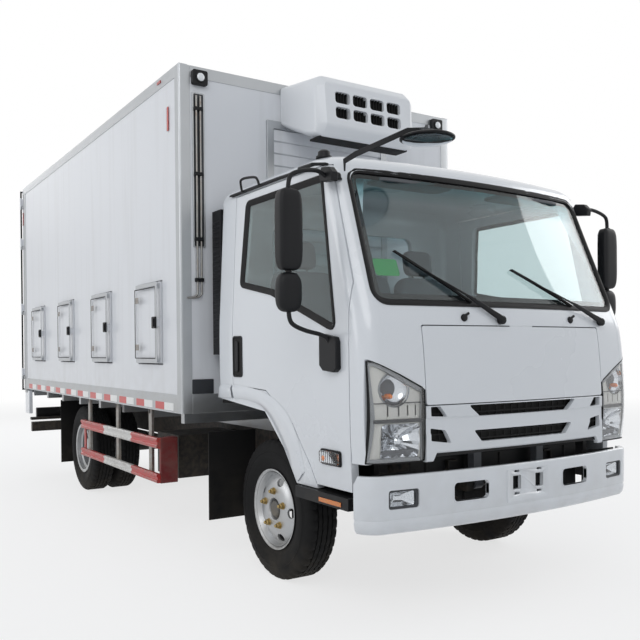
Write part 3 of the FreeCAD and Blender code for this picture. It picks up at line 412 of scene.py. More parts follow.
def piece(name, bm, finish, body, angle=35, bevel=0.0, segments=2):
    # Mesh object from bm, smooth but for edges sharper than angle, riding on a body.
    bmesh.ops.recalc_face_normals(bm, faces=bm.faces)
    mesh = bpy.data.meshes.new(name)
    bm.to_mesh(mesh)
    bm.free()
    for one in ([finish] if isinstance(finish, str) else finish):
        mesh.materials.append(mats[one])
    mesh.shade_smooth()
    mesh.set_sharp_from_angle(angle=math.radians(angle))
    obj = bpy.data.objects.new(name, mesh)
    bpy.context.scene.collection.objects.link(obj)
    if bevel:
        edges = obj.modifiers.new("edges", "BEVEL")
        edges.width, edges.segments, edges.limit_method = bevel, segments, "ANGLE"
        edges.angle_limit = math.radians(40)
    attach(obj, body)
    return obj


def tube(name, routes, radius, finish, body, curved=True):
    # Round bars along routes of points.
    curve = bpy.data.curves.new(name, "CURVE")
    curve.dimensions = "3D"
    curve.bevel_depth, curve.bevel_resolution, curve.use_fill_caps = radius, 3, True
    curve.resolution_u = 6
    for route in routes:
        spline = curve.splines.new("NURBS" if curved else "POLY")
        spline.points.add(len(route) - 1)
        for point, place in zip(spline.points, route):
            point.co = (*place, 1.0)
        if curved:
            spline.order_u = 3
            spline.use_endpoint_u = True
    curve.materials.append(mats[finish])
    obj = bpy.data.objects.new(name, curve)
    bpy.context.scene.collection.objects.link(obj)
    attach(obj, body)
    return obj


def carved(obj, cutter):
    # obj less the cutter, as a plain mesh.
    cut = obj.modifiers.new("carve", "BOOLEAN")
    cut.object, cut.operation, cut.solver = cutter, "DIFFERENCE", "EXACT"
    graph = bpy.context.evaluated_depsgraph_get()
    made = bpy.data.meshes.new_from_object(obj.evaluated_get(graph))
    obj.modifiers.clear()
    obj.data = made
    bpy.data.objects.remove(cutter)
    return obj


surfaces = {}


def surfaceTree(nodeNames):
    # Searchable copy of CAD surfaces, for pieces that lie on them.
    if nodeNames not in surfaces:
        points, faces = [], []
        for name in nodeNames:
            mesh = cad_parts[name].data
            start = len(points)
            points += [v.co.copy() for v in mesh.vertices]
            faces += [[start + i for i in p.vertices] for p in mesh.polygons]
        surfaces[nodeNames] = BVHTree.FromPolygons(points, faces)
    return surfaces[nodeNames]


def landOn(nodeNames, start, direction, lift=0.0):
    # Where a straight look from start meets those nodes, lifted off along the surface normal.
    place, normal, _, _ = surfaceTree(nodeNames).ray_cast(Vector(start), Vector(direction))
    if place is None:
        return None
    if normal.dot(Vector(direction)) > 0:
        normal = -normal
    return place + normal * lift


def mirrorX(points):
    return [Vector((-p[0], p[1], p[2])) for p in points]


# ---------- box body

boxTrimSizes = {"proud": 0.003, "postSide": 0.062, "postFront": 0.07, "cornerRadius": 0.014,
                "topRail": 0.072, "bottomRail": (0.885, 0.995), "rearPost": 0.05}


def addBoxTrim():
    # Folded aluminium round the edges of the panels.
    s = boxTrimSizes
    bm = bmesh.new()
    out, r = s["proud"], s["cornerRadius"]
    for side in (-1, 1):
        face, front = boxHalf + out, boxFront - out
        arc = [(side * (face - r + r * math.cos(a)), front + r - r * math.sin(a))
               for a in [math.pi / 2 * i / 5 for i in range(6)]]
        corner = ([(side * boxHalf, boxFront + s["postSide"]), (side * face, boxFront + s["postSide"])] + arc
                  + [(side * (boxHalf - s["postFront"]), front), (side * (boxHalf - s["postFront"]), boxFront),
                     (side * (boxHalf - r), boxFront), (side * boxHalf, boxFront + r)])
        prism(bm, corner, "z", boxLow, boxTop - 0.002)
        # rails along the top and bottom of the side wall
        lows, highs = sorted((side * boxHalf, side * face))
        top = boxTop - s["topRail"]
        box(bm, (lows, boxFront + s["postSide"] + 0.001, top), (highs, boxRear - 0.062, boxTop - 0.001))
        box(bm, (lows, boxFront + s["postSide"] + 0.001, s["bottomRail"][0]),
            (highs, boxRear - 0.122, s["bottomRail"][1]))
        box(bm, (lows, boxRear - 0.122 - s["rearPost"], s["bottomRail"][1] + 0.001),
            (highs, boxRear - 0.122, top - 0.001))
        # roof edge capping
        lows, highs = sorted((side * (boxHalf - 0.055), side * boxHalf))
        box(bm, (lows, boxFront, boxTop), (highs, boxRear - 0.062, boxTop + out))
    inner = boxHalf - s["postFront"] - 0.001
    box(bm, (-inner, boxFront - out, boxTop - s["topRail"]), (inner, boxFront, boxTop - 0.001))
    box(bm, (-inner, boxFront - out, boxLow), (inner, boxFront, 0.997))
    piece("box_edge_trim", bm, "edgeMetal", "chassis", bevel=0.0012)
    # rivets along the trims
    bm = bmesh.new()
    count = 26
    for side in (-1, 1):
        for i in range(count):
            y = boxFront + 0.12 + i * (boxRear - boxFront - 0.36) / (count - 1)
            for z in (boxTop - s["topRail"] + 0.012, s["bottomRail"][1] - 0.012):
                dome(bm, (side * (boxHalf + out), y, z), (side, 0, 0), 0.0045)
    piece("box_trim_rivets", bm, "edgeMetal", "chassis")


def dome(bm, place, outward, radius, height=0.5, steps=10, paint=0):
    # Low round head standing on a surface.
    place, outward = Vector(place), Vector(outward).normalized()
    side = outward.orthogonal().normalized()
    across = outward.cross(side)
    rows = []
    for k in range(3):
        a = math.pi / 2 * k / 3
        ring = radius * math.cos(a)
        rows.append([bm.verts.new(place + outward * radius * height * math.sin(a)
                                  + (side * math.cos(b) + across * math.sin(b)) * ring)
                     for b in [2 * math.pi * i / steps for i in range(steps)]])
    top = bm.verts.new(place + outward * radius * height)
    for a, b in zip(rows, rows[1:]):
        for i in range(steps):
            j = (i + 1) % steps
            bm.faces.new((a[i], a[j], b[j], b[i])).material_index = paint
    for i in range(steps):
        bm.faces.new((rows[-1][i], rows[-1][(i + 1) % steps], top)).material_index = paint
    bm.faces.new(list(reversed(rows[0]))).material_index = paint


tapeSizes = {"low": 0.893, "high": 0.94, "first": 0.12, "pitch": 0.357, "half": 0.152, "count": 11}


def addTape():
    # Red and white reflecting strips along the bottom rails.
    s = tapeSizes
    for side, word in ((-1, "right"), (1, "left")):
        bm = bmesh.new()
        face = side * (boxHalf + boxTrimSizes["proud"])
        for i in range(s["count"]):
            y = boxFront + s["first"] + i * s["pitch"]
            for k in range(2):
                lows, highs = sorted((face, face + side * 0.0012))
                box(bm, (lows, y + k * s["half"], s["low"]),
                    (highs, y + (k + 1) * s["half"] - 0.001, s["high"]), paint=1 - k)
        piece("marker_tape_" + word, bm, ["tapeRed", "tapeWhite"], "chassis")
        bm = bmesh.new()
        for low, high in (((0.28, 2.974), (0.34, 2.992)), ((0.155, 2.64), (0.181, 2.79)), ((4.17, 2.62), (4.2, 2.756))):
            lows, highs = sorted((face, face + side * 0.005))
            box(bm, (lows, boxFront + low[0], low[1]), (highs, boxFront + high[0], high[1]))
        piece("side_reflectors_" + word, bm, "redLens", "chassis", bevel=0.002)


lampSizes = {"halfWidth": 0.05, "low": 2.894, "high": 2.984, "centre": 0.966, "depth": 0.03, "lens": 0.026}


def addFrontLamps():
    # Width lamps: a black block with a round clear lens.
    s = lampSizes
    front = boxFront - boxTrimSizes["proud"]
    for side, word in ((-1, "right"), (1, "left")):
        x, z = side * s["centre"], (s["low"] + s["high"]) / 2
        bm = bmesh.new()
        prism(bm, roundRect(x - s["halfWidth"], x + s["halfWidth"], s["low"], s["high"], 0.012), "y",
              front - s["depth"], front)
        turned(bm, [(0, s["lens"] + 0.007), (-0.006, s["lens"] + 0.006), (-0.006, s["lens"])],
               (x, front - s["depth"], z), "y")
        piece("width_lamp_body_" + word, bm, "blackPlastic", "chassis", bevel=0.002)
        bm = bmesh.new()
        dome(bm, (x, front - s["depth"] - 0.004, z), (0, -1, 0), s["lens"], 0.4, 24)
        piece("width_lamp_lens_" + word, bm, "bulbWhite", "chassis")


wallSizes = {"strip": (-1.011, -0.929, 1.9, 2.85), "tubes": (-0.988, -0.961), "tubeTop": 2.83, "tubeLow": 1.64,
             "panel": (-0.49, 0.49, 0.9, 2.76), "plate": (-1.025, -0.882, 0.999, 1.089), "slats": 22}


def addFrontWallFittings():
    s = wallSizes
    front = boxFront
    # recessed cable strip
    low, high, bottom, top = s["strip"]
    bm = bmesh.new()
    frameRing(bm, roundRect(low, high, bottom, top, 0.01), roundRect(low + 0.008, high - 0.008, bottom + 0.008,
                                                                     top - 0.008, 0.006), "y", front - 0.008, front)
    piece("cable_strip_frame", bm, "edgeMetal", "chassis", bevel=0.001)
    bm = bmesh.new()
    prism(bm, roundRect(low + 0.008, high - 0.008, bottom + 0.008, top - 0.008, 0.006), "y", front - 0.002, front)
    piece("cable_strip_back", bm, "plateGrey", "chassis")
    routes = []
    for x in s["tubes"]:
        end = [(x, front - 0.014, s["tubeLow"]), (x, front - 0.014, s["tubeLow"] - 0.03),
               (x - 0.03, front - 0.014, s["tubeLow"] - 0.05), (x - 0.066, front - 0.012, s["tubeLow"] - 0.05)]
        routes.append([(x, front - 0.014, s["tubeTop"]), (x, front - 0.014, 2.2)] + end)
    tube("cable_pipes", routes, 0.006, "plainSteel", "chassis")
    bm = bmesh.new()
    for z in (2.75, 2.35, 1.95, 1.7):
        box(bm, (s["tubes"][0] - 0.014, front - 0.022, z - 0.012), (s["tubes"][1] + 0.014, front, z + 0.012))
    piece("pipe_clips", bm, "blackPlastic", "chassis", bevel=0.003)
    # louvred panel behind the cab
    low, high, bottom, top = s["panel"]
    bm = bmesh.new()
    frameRing(bm, roundRect(low, high, bottom, top, 0.004), roundRect(low + 0.05, high - 0.05, bottom + 0.05,
                                                                      top - 0.05, 0.003), "y", front - 0.016, front)
    piece("louvre_frame", bm, "edgeMetal", "chassis", bevel=0.0015)
    bm = bmesh.new()
    pitch = (top - bottom - 0.1) / s["slats"]
    for i in range(s["slats"]):
        z = bottom + 0.05 + i * pitch
        prism(bm, [(front, z), (front - 0.006, z), (front - 0.013, z + 0.006), (front - 0.006, z + pitch - 0.004),
                   (front, z + pitch - 0.004)], "x", low + 0.05, high - 0.05)
    piece("louvre_slats", bm, "boxPanel", "chassis", angle=25)
    # blank data plate
    low, high, bottom, top = s["plate"]
    bm = bmesh.new()
    prism(bm, roundRect(low, high, bottom, top, 0.006), "y", front - 0.006, front)
    for x in (low + 0.01, high - 0.01):
        for z in (bottom + 0.01, top - 0.01):
            dome(bm, (x, front - 0.006, z), (0, -1, 0), 0.004)
    piece("data_plate", bm, "plateGrey", "chassis", bevel=0.001)


hatchSizes = {"margin": 0.03, "line": 0.006, "hinge": 0.012, "latchHeight": 0.075, "clear": 0.058}


def addHatchFittings(word, index):
    # Seal line, inner panel, hinges and latch of one vent hatch.
    s = hatchSizes
    side = -1 if word == "right" else 1
    nodeName = f"vent_hatch_{word}_{index}"
    low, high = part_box(nodeName)
    face = high.x if side > 0 else low.x
    y0, y1, z0, z1 = low.y, high.y, low.z, high.z
    m = s["margin"]

    def xs(inner, outer):
        return sorted((face + side * inner, face + side * outer))

    bm = bmesh.new()
    a, b = xs(-0.002, 0.0015)
    frameRing(bm, roundRect(y0 + m, y1 - m, z0 + m, z1 - m, 0.006),
              roundRect(y0 + m + s["line"], y1 - m - s["line"], z0 + m + s["line"], z1 - m - s["line"], 0.004),
              "x", a, b)
    piece(nodeName + "_seal", bm, "gasket", nodeName)
    bm = bmesh.new()
    a, b = xs(-0.001, 0.0035)
    for low_, high_ in (((y0 + 0.002, z0 + 0.002), (y0 + m - 0.002, z1 - 0.002)),
                        ((y0 + m - 0.002, z0 + 0.002), (y1 - s["clear"], z0 + m - 0.002)),
                        ((y0 + m - 0.002, z1 - m + 0.002), (y1 - s["clear"], z1 - 0.002))):
        box(bm, (a, *low_), (b, *high_))
    piece(nodeName + "_frame", bm, "edgeMetal", nodeName, bevel=0.0012)
    bm = bmesh.new()
    for share in (0.2, 0.8):
        z = z0 + share * (z1 - z0)
        a, b = xs(0.003, 0.007)
        box(bm, (a, y1 - 0.116, z - 0.02), (b, y1 - s["clear"], z + 0.02))
        for k in range(2):
            dome(bm, (face + side * 0.007, y1 - 0.102 + 0.028 * k, z), (side, 0, 0), 0.005)
    piece(nodeName + "_hinge_leaves", bm, "plainSteel", nodeName, bevel=0.001)
    bm = bmesh.new()
    z, h = (z0 + z1) / 2, s["latchHeight"] / 2
    a, b = xs(0.003, 0.016)
    prism(bm, roundRect(y0 + 0.004, y0 + 0.062, z - h, z + h, 0.008), "x", a, b)
    a, b = xs(0.016, 0.024)
    prism(bm, roundRect(y0 + 0.012, y0 + 0.034, z - h * 0.72, z + h * 0.72, 0.006), "x", a, b)
    piece(nodeName + "_latch", bm, "blackPlastic", nodeName, bevel=0.002)


coolerSizes = {"inset": 0.03, "holes": (4, 2), "holeX": (-0.262, 0.252), "holeZ": (2.69, 2.856), "gap": 0.022,
               "depth": 0.05, "round": 0.02}


def addCooler():
    # Moulded shell with its air openings, in the place of the plain solid.
    s = coolerSizes
    low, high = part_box("cooling_unit")
    wall, front, half = high.y, low.y, high.x
    outline = [(wall, 2.73), (wall - 0.3, 2.6), (front + 0.055, 2.574), (front + 0.002, 2.64), (front + 0.012, 2.9),
               (front + 0.07, 2.953), (wall, 3.003)]
    bm = bmesh.new()
    sections = ((-half, 0.045), (-half + 0.055, 0.0), (half - 0.055, 0.0), (half, 0.045))
    middle = ((wall + front) / 2, 2.79)
    rows = []
    for x, pinch in sections:
        rows.append([bm.verts.new((x, y + (pinch if y < wall - 0.25 and z > 2.6 else 0) * (1 if y < middle[0] else 0),
                                   z - (pinch * 0.5 if z > middle[1] else -pinch * 0.4))) for y, z in outline])
    for a, b in zip(rows, rows[1:]):
        for i in range(len(outline)):
            j = (i + 1) % len(outline)
            bm.faces.new((a[i], b[i], b[j], a[j]))
    bm.faces.new(rows[0])
    bm.faces.new(list(reversed(rows[-1])))
    shell = piece("cooler_shell", bm, "coolerShell", "chassis", bevel=0.016, segments=4)
    bm = bmesh.new()
    columns, lines = s["holes"]
    wide = (s["holeX"][1] - s["holeX"][0] + s["gap"]) / columns
    tall = (s["holeZ"][1] - s["holeZ"][0] + s["gap"]) / lines
    for i in range(columns):
        for k in range(lines):
            x = s["holeX"][0] + i * wide
            z = s["holeZ"][0] + k * tall
            prism(bm, roundRect(x, x + wide - s["gap"], z, z + tall - s["gap"], s["round"]), "y",
                  front - 0.05, front + s["depth"])
    cutter = piece("cooler_cutter", bm, "darkGap", "chassis")
    carved(shell, cutter)
    shell.data.shade_smooth()
    shell.data.set_sharp_from_angle(angle=math.radians(30))
    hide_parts("cooling_unit")
    # near-black plate and fins behind the air openings: the real core, darkened as painted shade in the cavity
    bm = bmesh.new()
    box(bm, (s["holeX"][0] - 0.02, front + s["depth"] - 0.001, s["holeZ"][0] - 0.02),
        (s["holeX"][1] + 0.02, front + s["depth"] + 0.004, s["holeZ"][1] + 0.02))
    for i in range(24):
        x = s["holeX"][0] + (s["holeX"][1] - s["holeX"][0]) * (i + 0.5) / 24
        box(bm, (x - 0.0015, front + s["depth"] - 0.02, s["holeZ"][0] - 0.01),
            (x + 0.0015, front + s["depth"], s["holeZ"][1] + 0.01))
    piece("cooler_core", bm, "darkGap", "chassis")
    bm = bmesh.new()
    box(bm, (-half + 0.04, front + 0.06, 2.572), (half - 0.04, wall - 0.3, 2.584))
    piece("cooler_base", bm, "gasket", "chassis")


doorSizes = {"rod": 0.013, "rods": (0.2, 0.86), "keeper": 0.05}


def addRearDoorFittings():
    # Lock rods on the rear doors.
    s = doorSizes
    low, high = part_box("rear_door_right")
    rear, bottom, top = high.y, low.z, high.z
    for side, word in ((-1, "right"), (1, "left")):
        body = "rear_door_" + word
        bm = bmesh.new()
        for x in s["rods"]:
            turned(bm, [(bottom + 0.03, s["rod"]), (top - 0.03, s["rod"])], (side * x, rear - 0.016, 0), "z", 16)
        piece(body + "_lock_rods", bm, "plainSteel", body)
    print("rear doors done")


addBoxTrim()
addTape()
addFrontLamps()
addFrontWallFittings()
for sideWord in ("right", "left"):
    for hatchIndex in range(1, 5):
        addHatchFittings(sideWord, hatchIndex)
addCooler()
print("box body done")


# ---------- cab shell fittings

screenSizes = {"low": (0.842, 1.478), "high": (0.808, 2.128), "corner": 0.07, "frit": 0.04, "gasket": 0.014}
skinNodes = ("cab_front", "cab_roof", "cab_body", "front_panel", "grille", "headlamps", "cab_door_right",
             "cab_door_left")
frontward, sideward = Vector((0, 1, 0)), Vector((1, 0, 0))


def roundPoly(corners, radius, steps=8):
    # Closed outline through the corners with round ends, evenly stepped.
    points = []
    count = len(corners)
    for i, corner in enumerate(corners):
        here = Vector(corner)
        back, ahead = Vector(corners[i - 1]) - here, Vector(corners[(i + 1) % count]) - here
        angle = back.angle(ahead)
        one = radius[i] if isinstance(radius, (list, tuple)) else radius
        reach = one / math.tan(angle / 2)
        start, end = here + back.normalized() * reach, here + ahead.normalized() * reach
        for k in range(steps + 1):
            t = k / steps
            points.append(start * (1 - t) ** 2 + here * 2 * t * (1 - t) + end * t ** 2)
    return points


def densePoly(points, spacing):
    dense = []
    for a, b in zip(points, points[1:] + points[:1]):
        count = max(1, int((b - a).length / spacing))
        dense += [a.lerp(b, k / count) for k in range(count)]
    return dense


def outwardOf(points, i):
    along = (points[(i + 1) % len(points)] - points[i - 1]).normalized()
    return Vector((along.y, -along.x))


def ringOn(name, outline, rows, place, finish, body, closedAcross=False):
    # Strip round an outline; each row is (distance outwards, lift), put down by place().
    area = sum(a.x * b.y - b.x * a.y for a, b in zip(outline, outline[1:] + outline[:1]))
    sign = 1 if area > 0 else -1
    bm = bmesh.new()
    rings = []
    for away, lift in rows:
        rings.append([bm.verts.new(place(outline[i] + outwardOf(outline, i) * away * sign, lift))
                      for i in range(len(outline))])
    pairs = list(zip(rings, rings[1:])) + ([(rings[-1], rings[0])] if closedAcross else [])
    for a, b in pairs:
        for i in range(len(outline)):
            j = (i + 1) % len(outline)
            bm.faces.new((a[i], a[j], b[j], b[i]))
    return piece(name, bm, finish, body, angle=50)


def onGlass(point, lift):
    # On the windscreen's outer face, carried on past its edge.
    inside = Vector((max(-0.765, min(0.765, point.x)), max(1.53, min(2.08, point.y))))
    hit = landOn(("cab_glass",), (inside.x, -3.6, inside.y), frontward)
    sideSlope = landOn(("cab_glass",), (inside.x * 0.97, -3.6, inside.y), frontward)
    upSlope = landOn(("cab_glass",), (inside.x, -3.6, inside.y - 0.02), frontward)
    y = hit.y
    if abs(inside.x) > 0.01 and sideSlope:
        y += (hit.y - sideSlope.y) / (inside.x * 0.03) * (point.x - inside.x)
    if upSlope:
        y += (hit.y - upSlope.y) / 0.02 * (point.y - inside.y)
    return Vector((point.x, y - lift, point.y))


def addScreenSeal():
    s = screenSizes
    (lowX, lowZ), (highX, highZ) = s["low"], s["high"]
    outline = densePoly(roundPoly([(-lowX, lowZ), (lowX, lowZ), (highX, highZ), (-highX, highZ)], s["corner"]), 0.04)
    ringOn("screen_gasket", outline, [(0.015, 0.004), (0.014, 0.012), (0.004, 0.0135), (-0.012, 0.008),
                                      (-0.016, 0.0005), (-0.016, -0.002), (0.004, -0.002)], onGlass, "gasket", "cab",
           True)
    ringOn("screen_border", outline, [(-0.006, -0.0068), (-s["frit"], -0.0068), (-s["frit"], -0.0074),
                                      (-0.006, -0.0074)], onGlass, "gasket", "cab", True)


wiperSizes = {"pivots": ((-0.144, 1.402), (0.662, 1.404)), "tips": ((-0.547, 1.638), (0.169, 1.603)),
              "blade": 0.44, "lift": 0.03}


def addWipers():
    s = wiperSizes
    for k, (pivot, tip) in enumerate(zip(s["pivots"], s["tips"])):
        start, end = Vector(pivot), Vector(tip)
        along = end - start
        bm = bmesh.new()
        base = landOn(("cab_front",), (start.x, -3.6, start.y), frontward)
        turned(bm, [(-0.03, 0.017), (-0.026, 0.021), (-0.004, 0.022), (0.0, 0.018)], base, "y", 20)
        stations = ((0.0, 0.018, 0.012), (0.12, 0.016, 0.011), (0.42, 0.011, 0.008), (0.5, 0.006, 0.005),
                    (0.86, 0.004, 0.004), (0.99, 0.004, 0.004))
        rows = []
        across = Vector((-along.y, along.x)).normalized()
        for share, wide, thick in stations:
            flat = start + along * share
            y = onGlass(flat, 0.024 + 0.014 * math.sin(math.pi * min(1, share * 1.1))).y
            if share < 0.05:
                y = base.y - 0.026
            rows.append([bm.verts.new((flat.x + across.x * u * wide, y - v * thick, flat.y + across.y * u * wide))
                         for u, v in ((-1, 0), (-0.6, 1), (0.6, 1), (1, 0))])
        for a, b in zip(rows, rows[1:]):
            for i in range(4):
                bm.faces.new((a[i], a[(i + 1) % 4], b[(i + 1) % 4], b[i]))
        bm.faces.new(rows[0])
        bm.faces.new(list(reversed(rows[-1])))
        piece(f"wiper_arm_{k + 1}", bm, "blackPlastic", "cab", bevel=0.0015)
        # blade: spine, rubber lip and yokes, lying close to the glass
        bm = bmesh.new()
        middle = start + along * 0.86
        lean = Vector((along.x, along.y * 1.1)).normalized()
        rows = []
        for i in range(15):
            t = i / 14 - 0.5
            flat = middle + lean * t * s["blade"]
            down = onGlass(flat, 0.001)
            up = onGlass(flat, 0.018 + 0.006 * (1 - 4 * t * t))
            side = Vector((-lean.y, 0, lean.x)) * 0.005
            rows.append([bm.verts.new(p) for p in (down + side * 0.4, up + side, up - side, down - side * 0.4)])
        for a, b in zip(rows, rows[1:]):
            for i in range(4):
                bm.faces.new((a[i], a[(i + 1) % 4], b[(i + 1) % 4], b[i]))
        bm.faces.new(rows[0])
        bm.faces.new(list(reversed(rows[-1])))
        piece(f"wiper_blade_{k + 1}", bm, "gasket", "cab")
    for k, x in enumerate((-0.371, 0.395)):
        base = landOn(("cab_front",), (x, -3.6, 1.41), frontward)
        bm = bmesh.new()
        turned(bm, [(-0.012, 0.009), (-0.01, 0.016), (-0.002, 0.019), (0.002, 0.019)], base, "y", 20)
        box(bm, (x + 0.004, base.y - 0.012, 1.412), (x + 0.034, base.y - 0.003, 1.424),
            turn=Matrix.Translation(base) @ Matrix.Rotation(-0.5, 4, "Y") @ Matrix.Translation(-base))
        piece(f"washer_nozzle_{k + 1}", bm, "blackPlastic", "cab", bevel=0.002)


doorWindow = [(-0.746, 1.352), (-0.489, 1.445), (-0.143, 1.567), (0.206, 1.634), (0.165, 2.098), (-0.592, 2.098)]


def onSide(side):
    # Placing on the outer face of the cab's side; side is -1 or 1.
    def place(point, lift):
        hit = None
        for slack in (0, 0.006, -0.006, 0.012, -0.012, 0.02, -0.02):
            hit = hit or landOn(("cab_door_right", "cab_body", "cab_front", "door_glass_right", "cab_roof"),
                                (-1.4, point.x + slack, point.y), sideward)
        x = hit.x if hit else -0.93
        return Vector((side * -(x - lift), point.x, point.y))
    return place


def addDoorWindowSeal():
    corners = [(y + axleFront, z) for y, z in doorWindow]
    outline = densePoly(roundPoly(corners, 0.035, 5), 0.03)
    for side, word in ((-1, "right"), (1, "left")):
        ringOn("window_seal_" + word, outline, [(0.012, 0.0), (0.011, 0.005), (0.002, 0.007), (-0.014, 0.004),
                                                (-0.022, 0.001), (-0.022, -0.004), (0.0, -0.004)],
               onSide(side), "gasket", "cab_door_" + word, True)


archEdge = [(-1.425, 0.983), (-1.6, 0.99), (-1.757, 0.991), (-1.928, 0.974), (-2.045, 0.923), (-2.129, 0.848),
            (-2.208, 0.751), (-2.273, 0.645), (-2.309, 0.6)]
flareLine = [(-1.425, 1.064), (-1.58, 1.066), (-1.709, 1.065), (-1.899, 1.05), (-2.047, 1.023), (-2.159, 0.979),
             (-2.252, 0.913), (-2.325, 0.81), (-2.375, 0.66)]


def smoothLine(points, count):
    # Even steps along a Catmull-Rom curve through the points.
    points = [Vector(p) for p in points]
    out = []
    spans = len(points) - 1
    for i in range(count + 1):
        t = i / count * spans
        k = min(int(t), spans - 1)
        t -= k
        a, b, c, d = (points[max(0, k - 1)], points[k], points[k + 1], points[min(spans, k + 2)])
        out.append(0.5 * (2 * b + (c - a) * t + (2 * a - 5 * b + 4 * c - d) * t * t
                          + (3 * b - a - 3 * c + d) * t ** 3))
    return out


def addArches():
    # Pressed lip round each front wheel arch, split at the door's rear edge, with a black liner inside.
    count = 48
    edge, outer = smoothLine(archEdge, count), smoothLine(flareLine, count)
    split = axleFront + 0.298
    profile = ((0.0, 0.0012), (0.1, 0.004), (0.22, 0.0105), (0.34, 0.013), (0.97, 0.0135), (1.0, 0.010))
    for side, word in ((-1, "right"), (1, "left")):
        place = onSide(side)
        for body, keep in (("cab_door_" + word, lambda y: y < split - 0.003), ("cab", lambda y: y > split + 0.003)):
            bm = bmesh.new()
            rows = []
            for a, b in zip(outer, edge):
                if not keep((a.x + b.x) / 2):
                    continue
                fade = min(1.0, max(0.0, (min(a.y, b.y + 0.05) - 0.6) / 0.12)) * 0.85 + 0.15
                row = [bm.verts.new(place(a.lerp(b, t), lift * fade)) for t, lift in profile]
                tuck = b + (b - a).normalized() * -0.002
                row.append(bm.verts.new((side * 0.905, tuck.x, tuck.y)))
                rows.append(row)
            for a, b in zip(rows, rows[1:]):
                for i in range(len(a) - 1):
                    bm.faces.new((a[i], a[i + 1], b[i + 1], b[i]))
            piece(("door" if body != "cab" else "cab") + "_arch_lip_" + word, bm, "whitePaint", body, angle=60)
        bm = bmesh.new()
        rows = []
        for i, b in enumerate(edge):
            inward = (edge[min(count, i + 1)] - edge[max(0, i - 1)]).normalized()
            normal = Vector((-inward.y, inward.x))
            lower = b + normal * 0.012
            rows.append([bm.verts.new((side * x, p.x, p.y)) for x, p in
                         ((0.902, lower), (0.902, b + normal * 0.034), (0.87, b + normal * 0.034), (0.87, lower))])
        for a, b in zip(rows, rows[1:]):
            for i in range(4):
                bm.faces.new((a[i], a[(i + 1) % 4], b[(i + 1) % 4], b[i]))
        bm.faces.new(rows[0])
        bm.faces.new(list(reversed(rows[-1])))
        piece("arch_liner_" + word, bm, "blackRubber", "cab")
        bm = bmesh.new()
        lows, highs = sorted((side * 0.398, side * 0.404))
        prism(bm, [(-2.38, 0.6), (-1.47, 0.6), (-1.47, 0.96), (-2.38, 0.96)], "x", lows, highs)
        piece("wheel_house_wall_" + word, bm, "blackPlastic", "cab", bevel=0.002)


handleSizes = {"y": (-1.764, -1.622), "z": (1.112, 1.347), "round": 0.02}


def addDoorHandles():
    s = handleSizes
    for side, word in ((-1, "right"), (1, "left")):
        place = onSide(side)
        (y0, y1), (z0, z1) = s["y"], s["z"]
        y1 = min(y1, axleFront + 0.292)
        outline = [Vector(p) for p in roundRect(y0 + 0.02, y1, z0, z1, s["round"])]
        ringOn("handle_frame_" + word, outline, [(0.0, 0.0), (0.0, 0.005), (-0.008, 0.006), (-0.012, 0.002),
                                                 (-0.012, 0.0)], place, "blackPlastic", "cab_door_" + word, True)
        # flat near-black face inside the frame: the black handle recess with painted shade in place of its depth
        bm = bmesh.new()
        inner = [Vector(p) for p in roundRect(y0 + 0.032, y1 - 0.012, z0 + 0.012, z1 - 0.012, 0.01)]
        vs = [bm.verts.new(place(p, 0.001)) for p in inner]
        bm.faces.new(vs)
        piece("handle_recess_" + word, bm, "darkGap", "cab_door_" + word)
        bm = bmesh.new()
        middle = (y0 + y1) / 2 + 0.012
        face = place(Vector((middle, (z0 + z1) / 2)), 0.0).x
        lows, highs = sorted((face + side * 0.002, face + side * 0.011))
        prism(bm, roundRect(middle - 0.02, middle + 0.02, z0 + 0.03, z1 - 0.03, 0.014), "x", lows, highs)
        piece("handle_grip_" + word, bm, "blackPlastic", "cab_door_" + word, bevel=0.004, segments=3)


markerSizes = {"y": (-2.697, -2.535), "z": (0.722, 0.789)}


def addSideMarkers():
    s = markerSizes
    for side, word in ((-1, "right"), (1, "left")):
        place = onSide(side)
        (y0, y1), (z0, z1) = s["y"], s["z"]
        for name, grow, lift, finish in (("marker_base_", 0.004, 0.006, "gasket"), ("marker_lens_", -0.003, 0.02,
                                                                                 "lampLens")):
            bm = bmesh.new()
            outline = [Vector(p) for p in roundRect(y0 - grow, y1 + grow, z0 - grow, z1 + grow, 0.014)]
            low = [bm.verts.new(place(p, 0.0005)) for p in outline]
            high = [bm.verts.new(place(p, lift)) for p in outline]
            centre = Vector(((y0 + y1) / 2, (z0 + z1) / 2))
            cap = [bm.verts.new(place(centre + (p - centre) * 0.92, lift + 0.003)) for p in outline]
            for a, b in ((low, high), (high, cap)):
                for i in range(len(a)):
                    j = (i + 1) % len(a)
                    bm.faces.new((a[i], a[j], b[j], b[i]))
            bm.faces.new(cap)
            bm.faces.new(list(reversed(low)))
            piece(name + word, bm, finish, "cab_door_" + word, bevel=0.002)
        bm = bmesh.new()
        for k in range(9):
            y = y0 + 0.016 + k * (y1 - y0 - 0.03) / 8
            a, b = place(Vector((y, (z0 + z1) / 2)), 0.007), place(Vector((y, (z0 + z1) / 2)), 0.01)
            lows, highs = sorted((a.x, b.x))
            box(bm, (lows, y - 0.006, z0 + 0.01), (highs, y + 0.006, z1 - 0.01))
        piece("marker_prisms_" + word, bm, "chrome", "cab_door_" + word)
        bm = bmesh.new()
        bulb = place(Vector((y1 - 0.035, (z0 + z1) / 2 - 0.006)), 0.011)
        dome(bm, bulb, (side, 0, 0), 0.013, 0.6, 12)
        piece("marker_bulb_" + word, bm, "amber", "cab_door_" + word)


def addSteps():
    # The orange side reflector on each cab step.
    for side, word in ((-1, "right"), (1, "left")):
        bm = bmesh.new()
        lows, highs = sorted((side * 0.9455, side * 0.9485))
        box(bm, (lows, -2.724, 0.541), (highs, -2.541, 0.562))
        piece("step_reflector_" + word, bm, "amber", "cab", bevel=0.001)


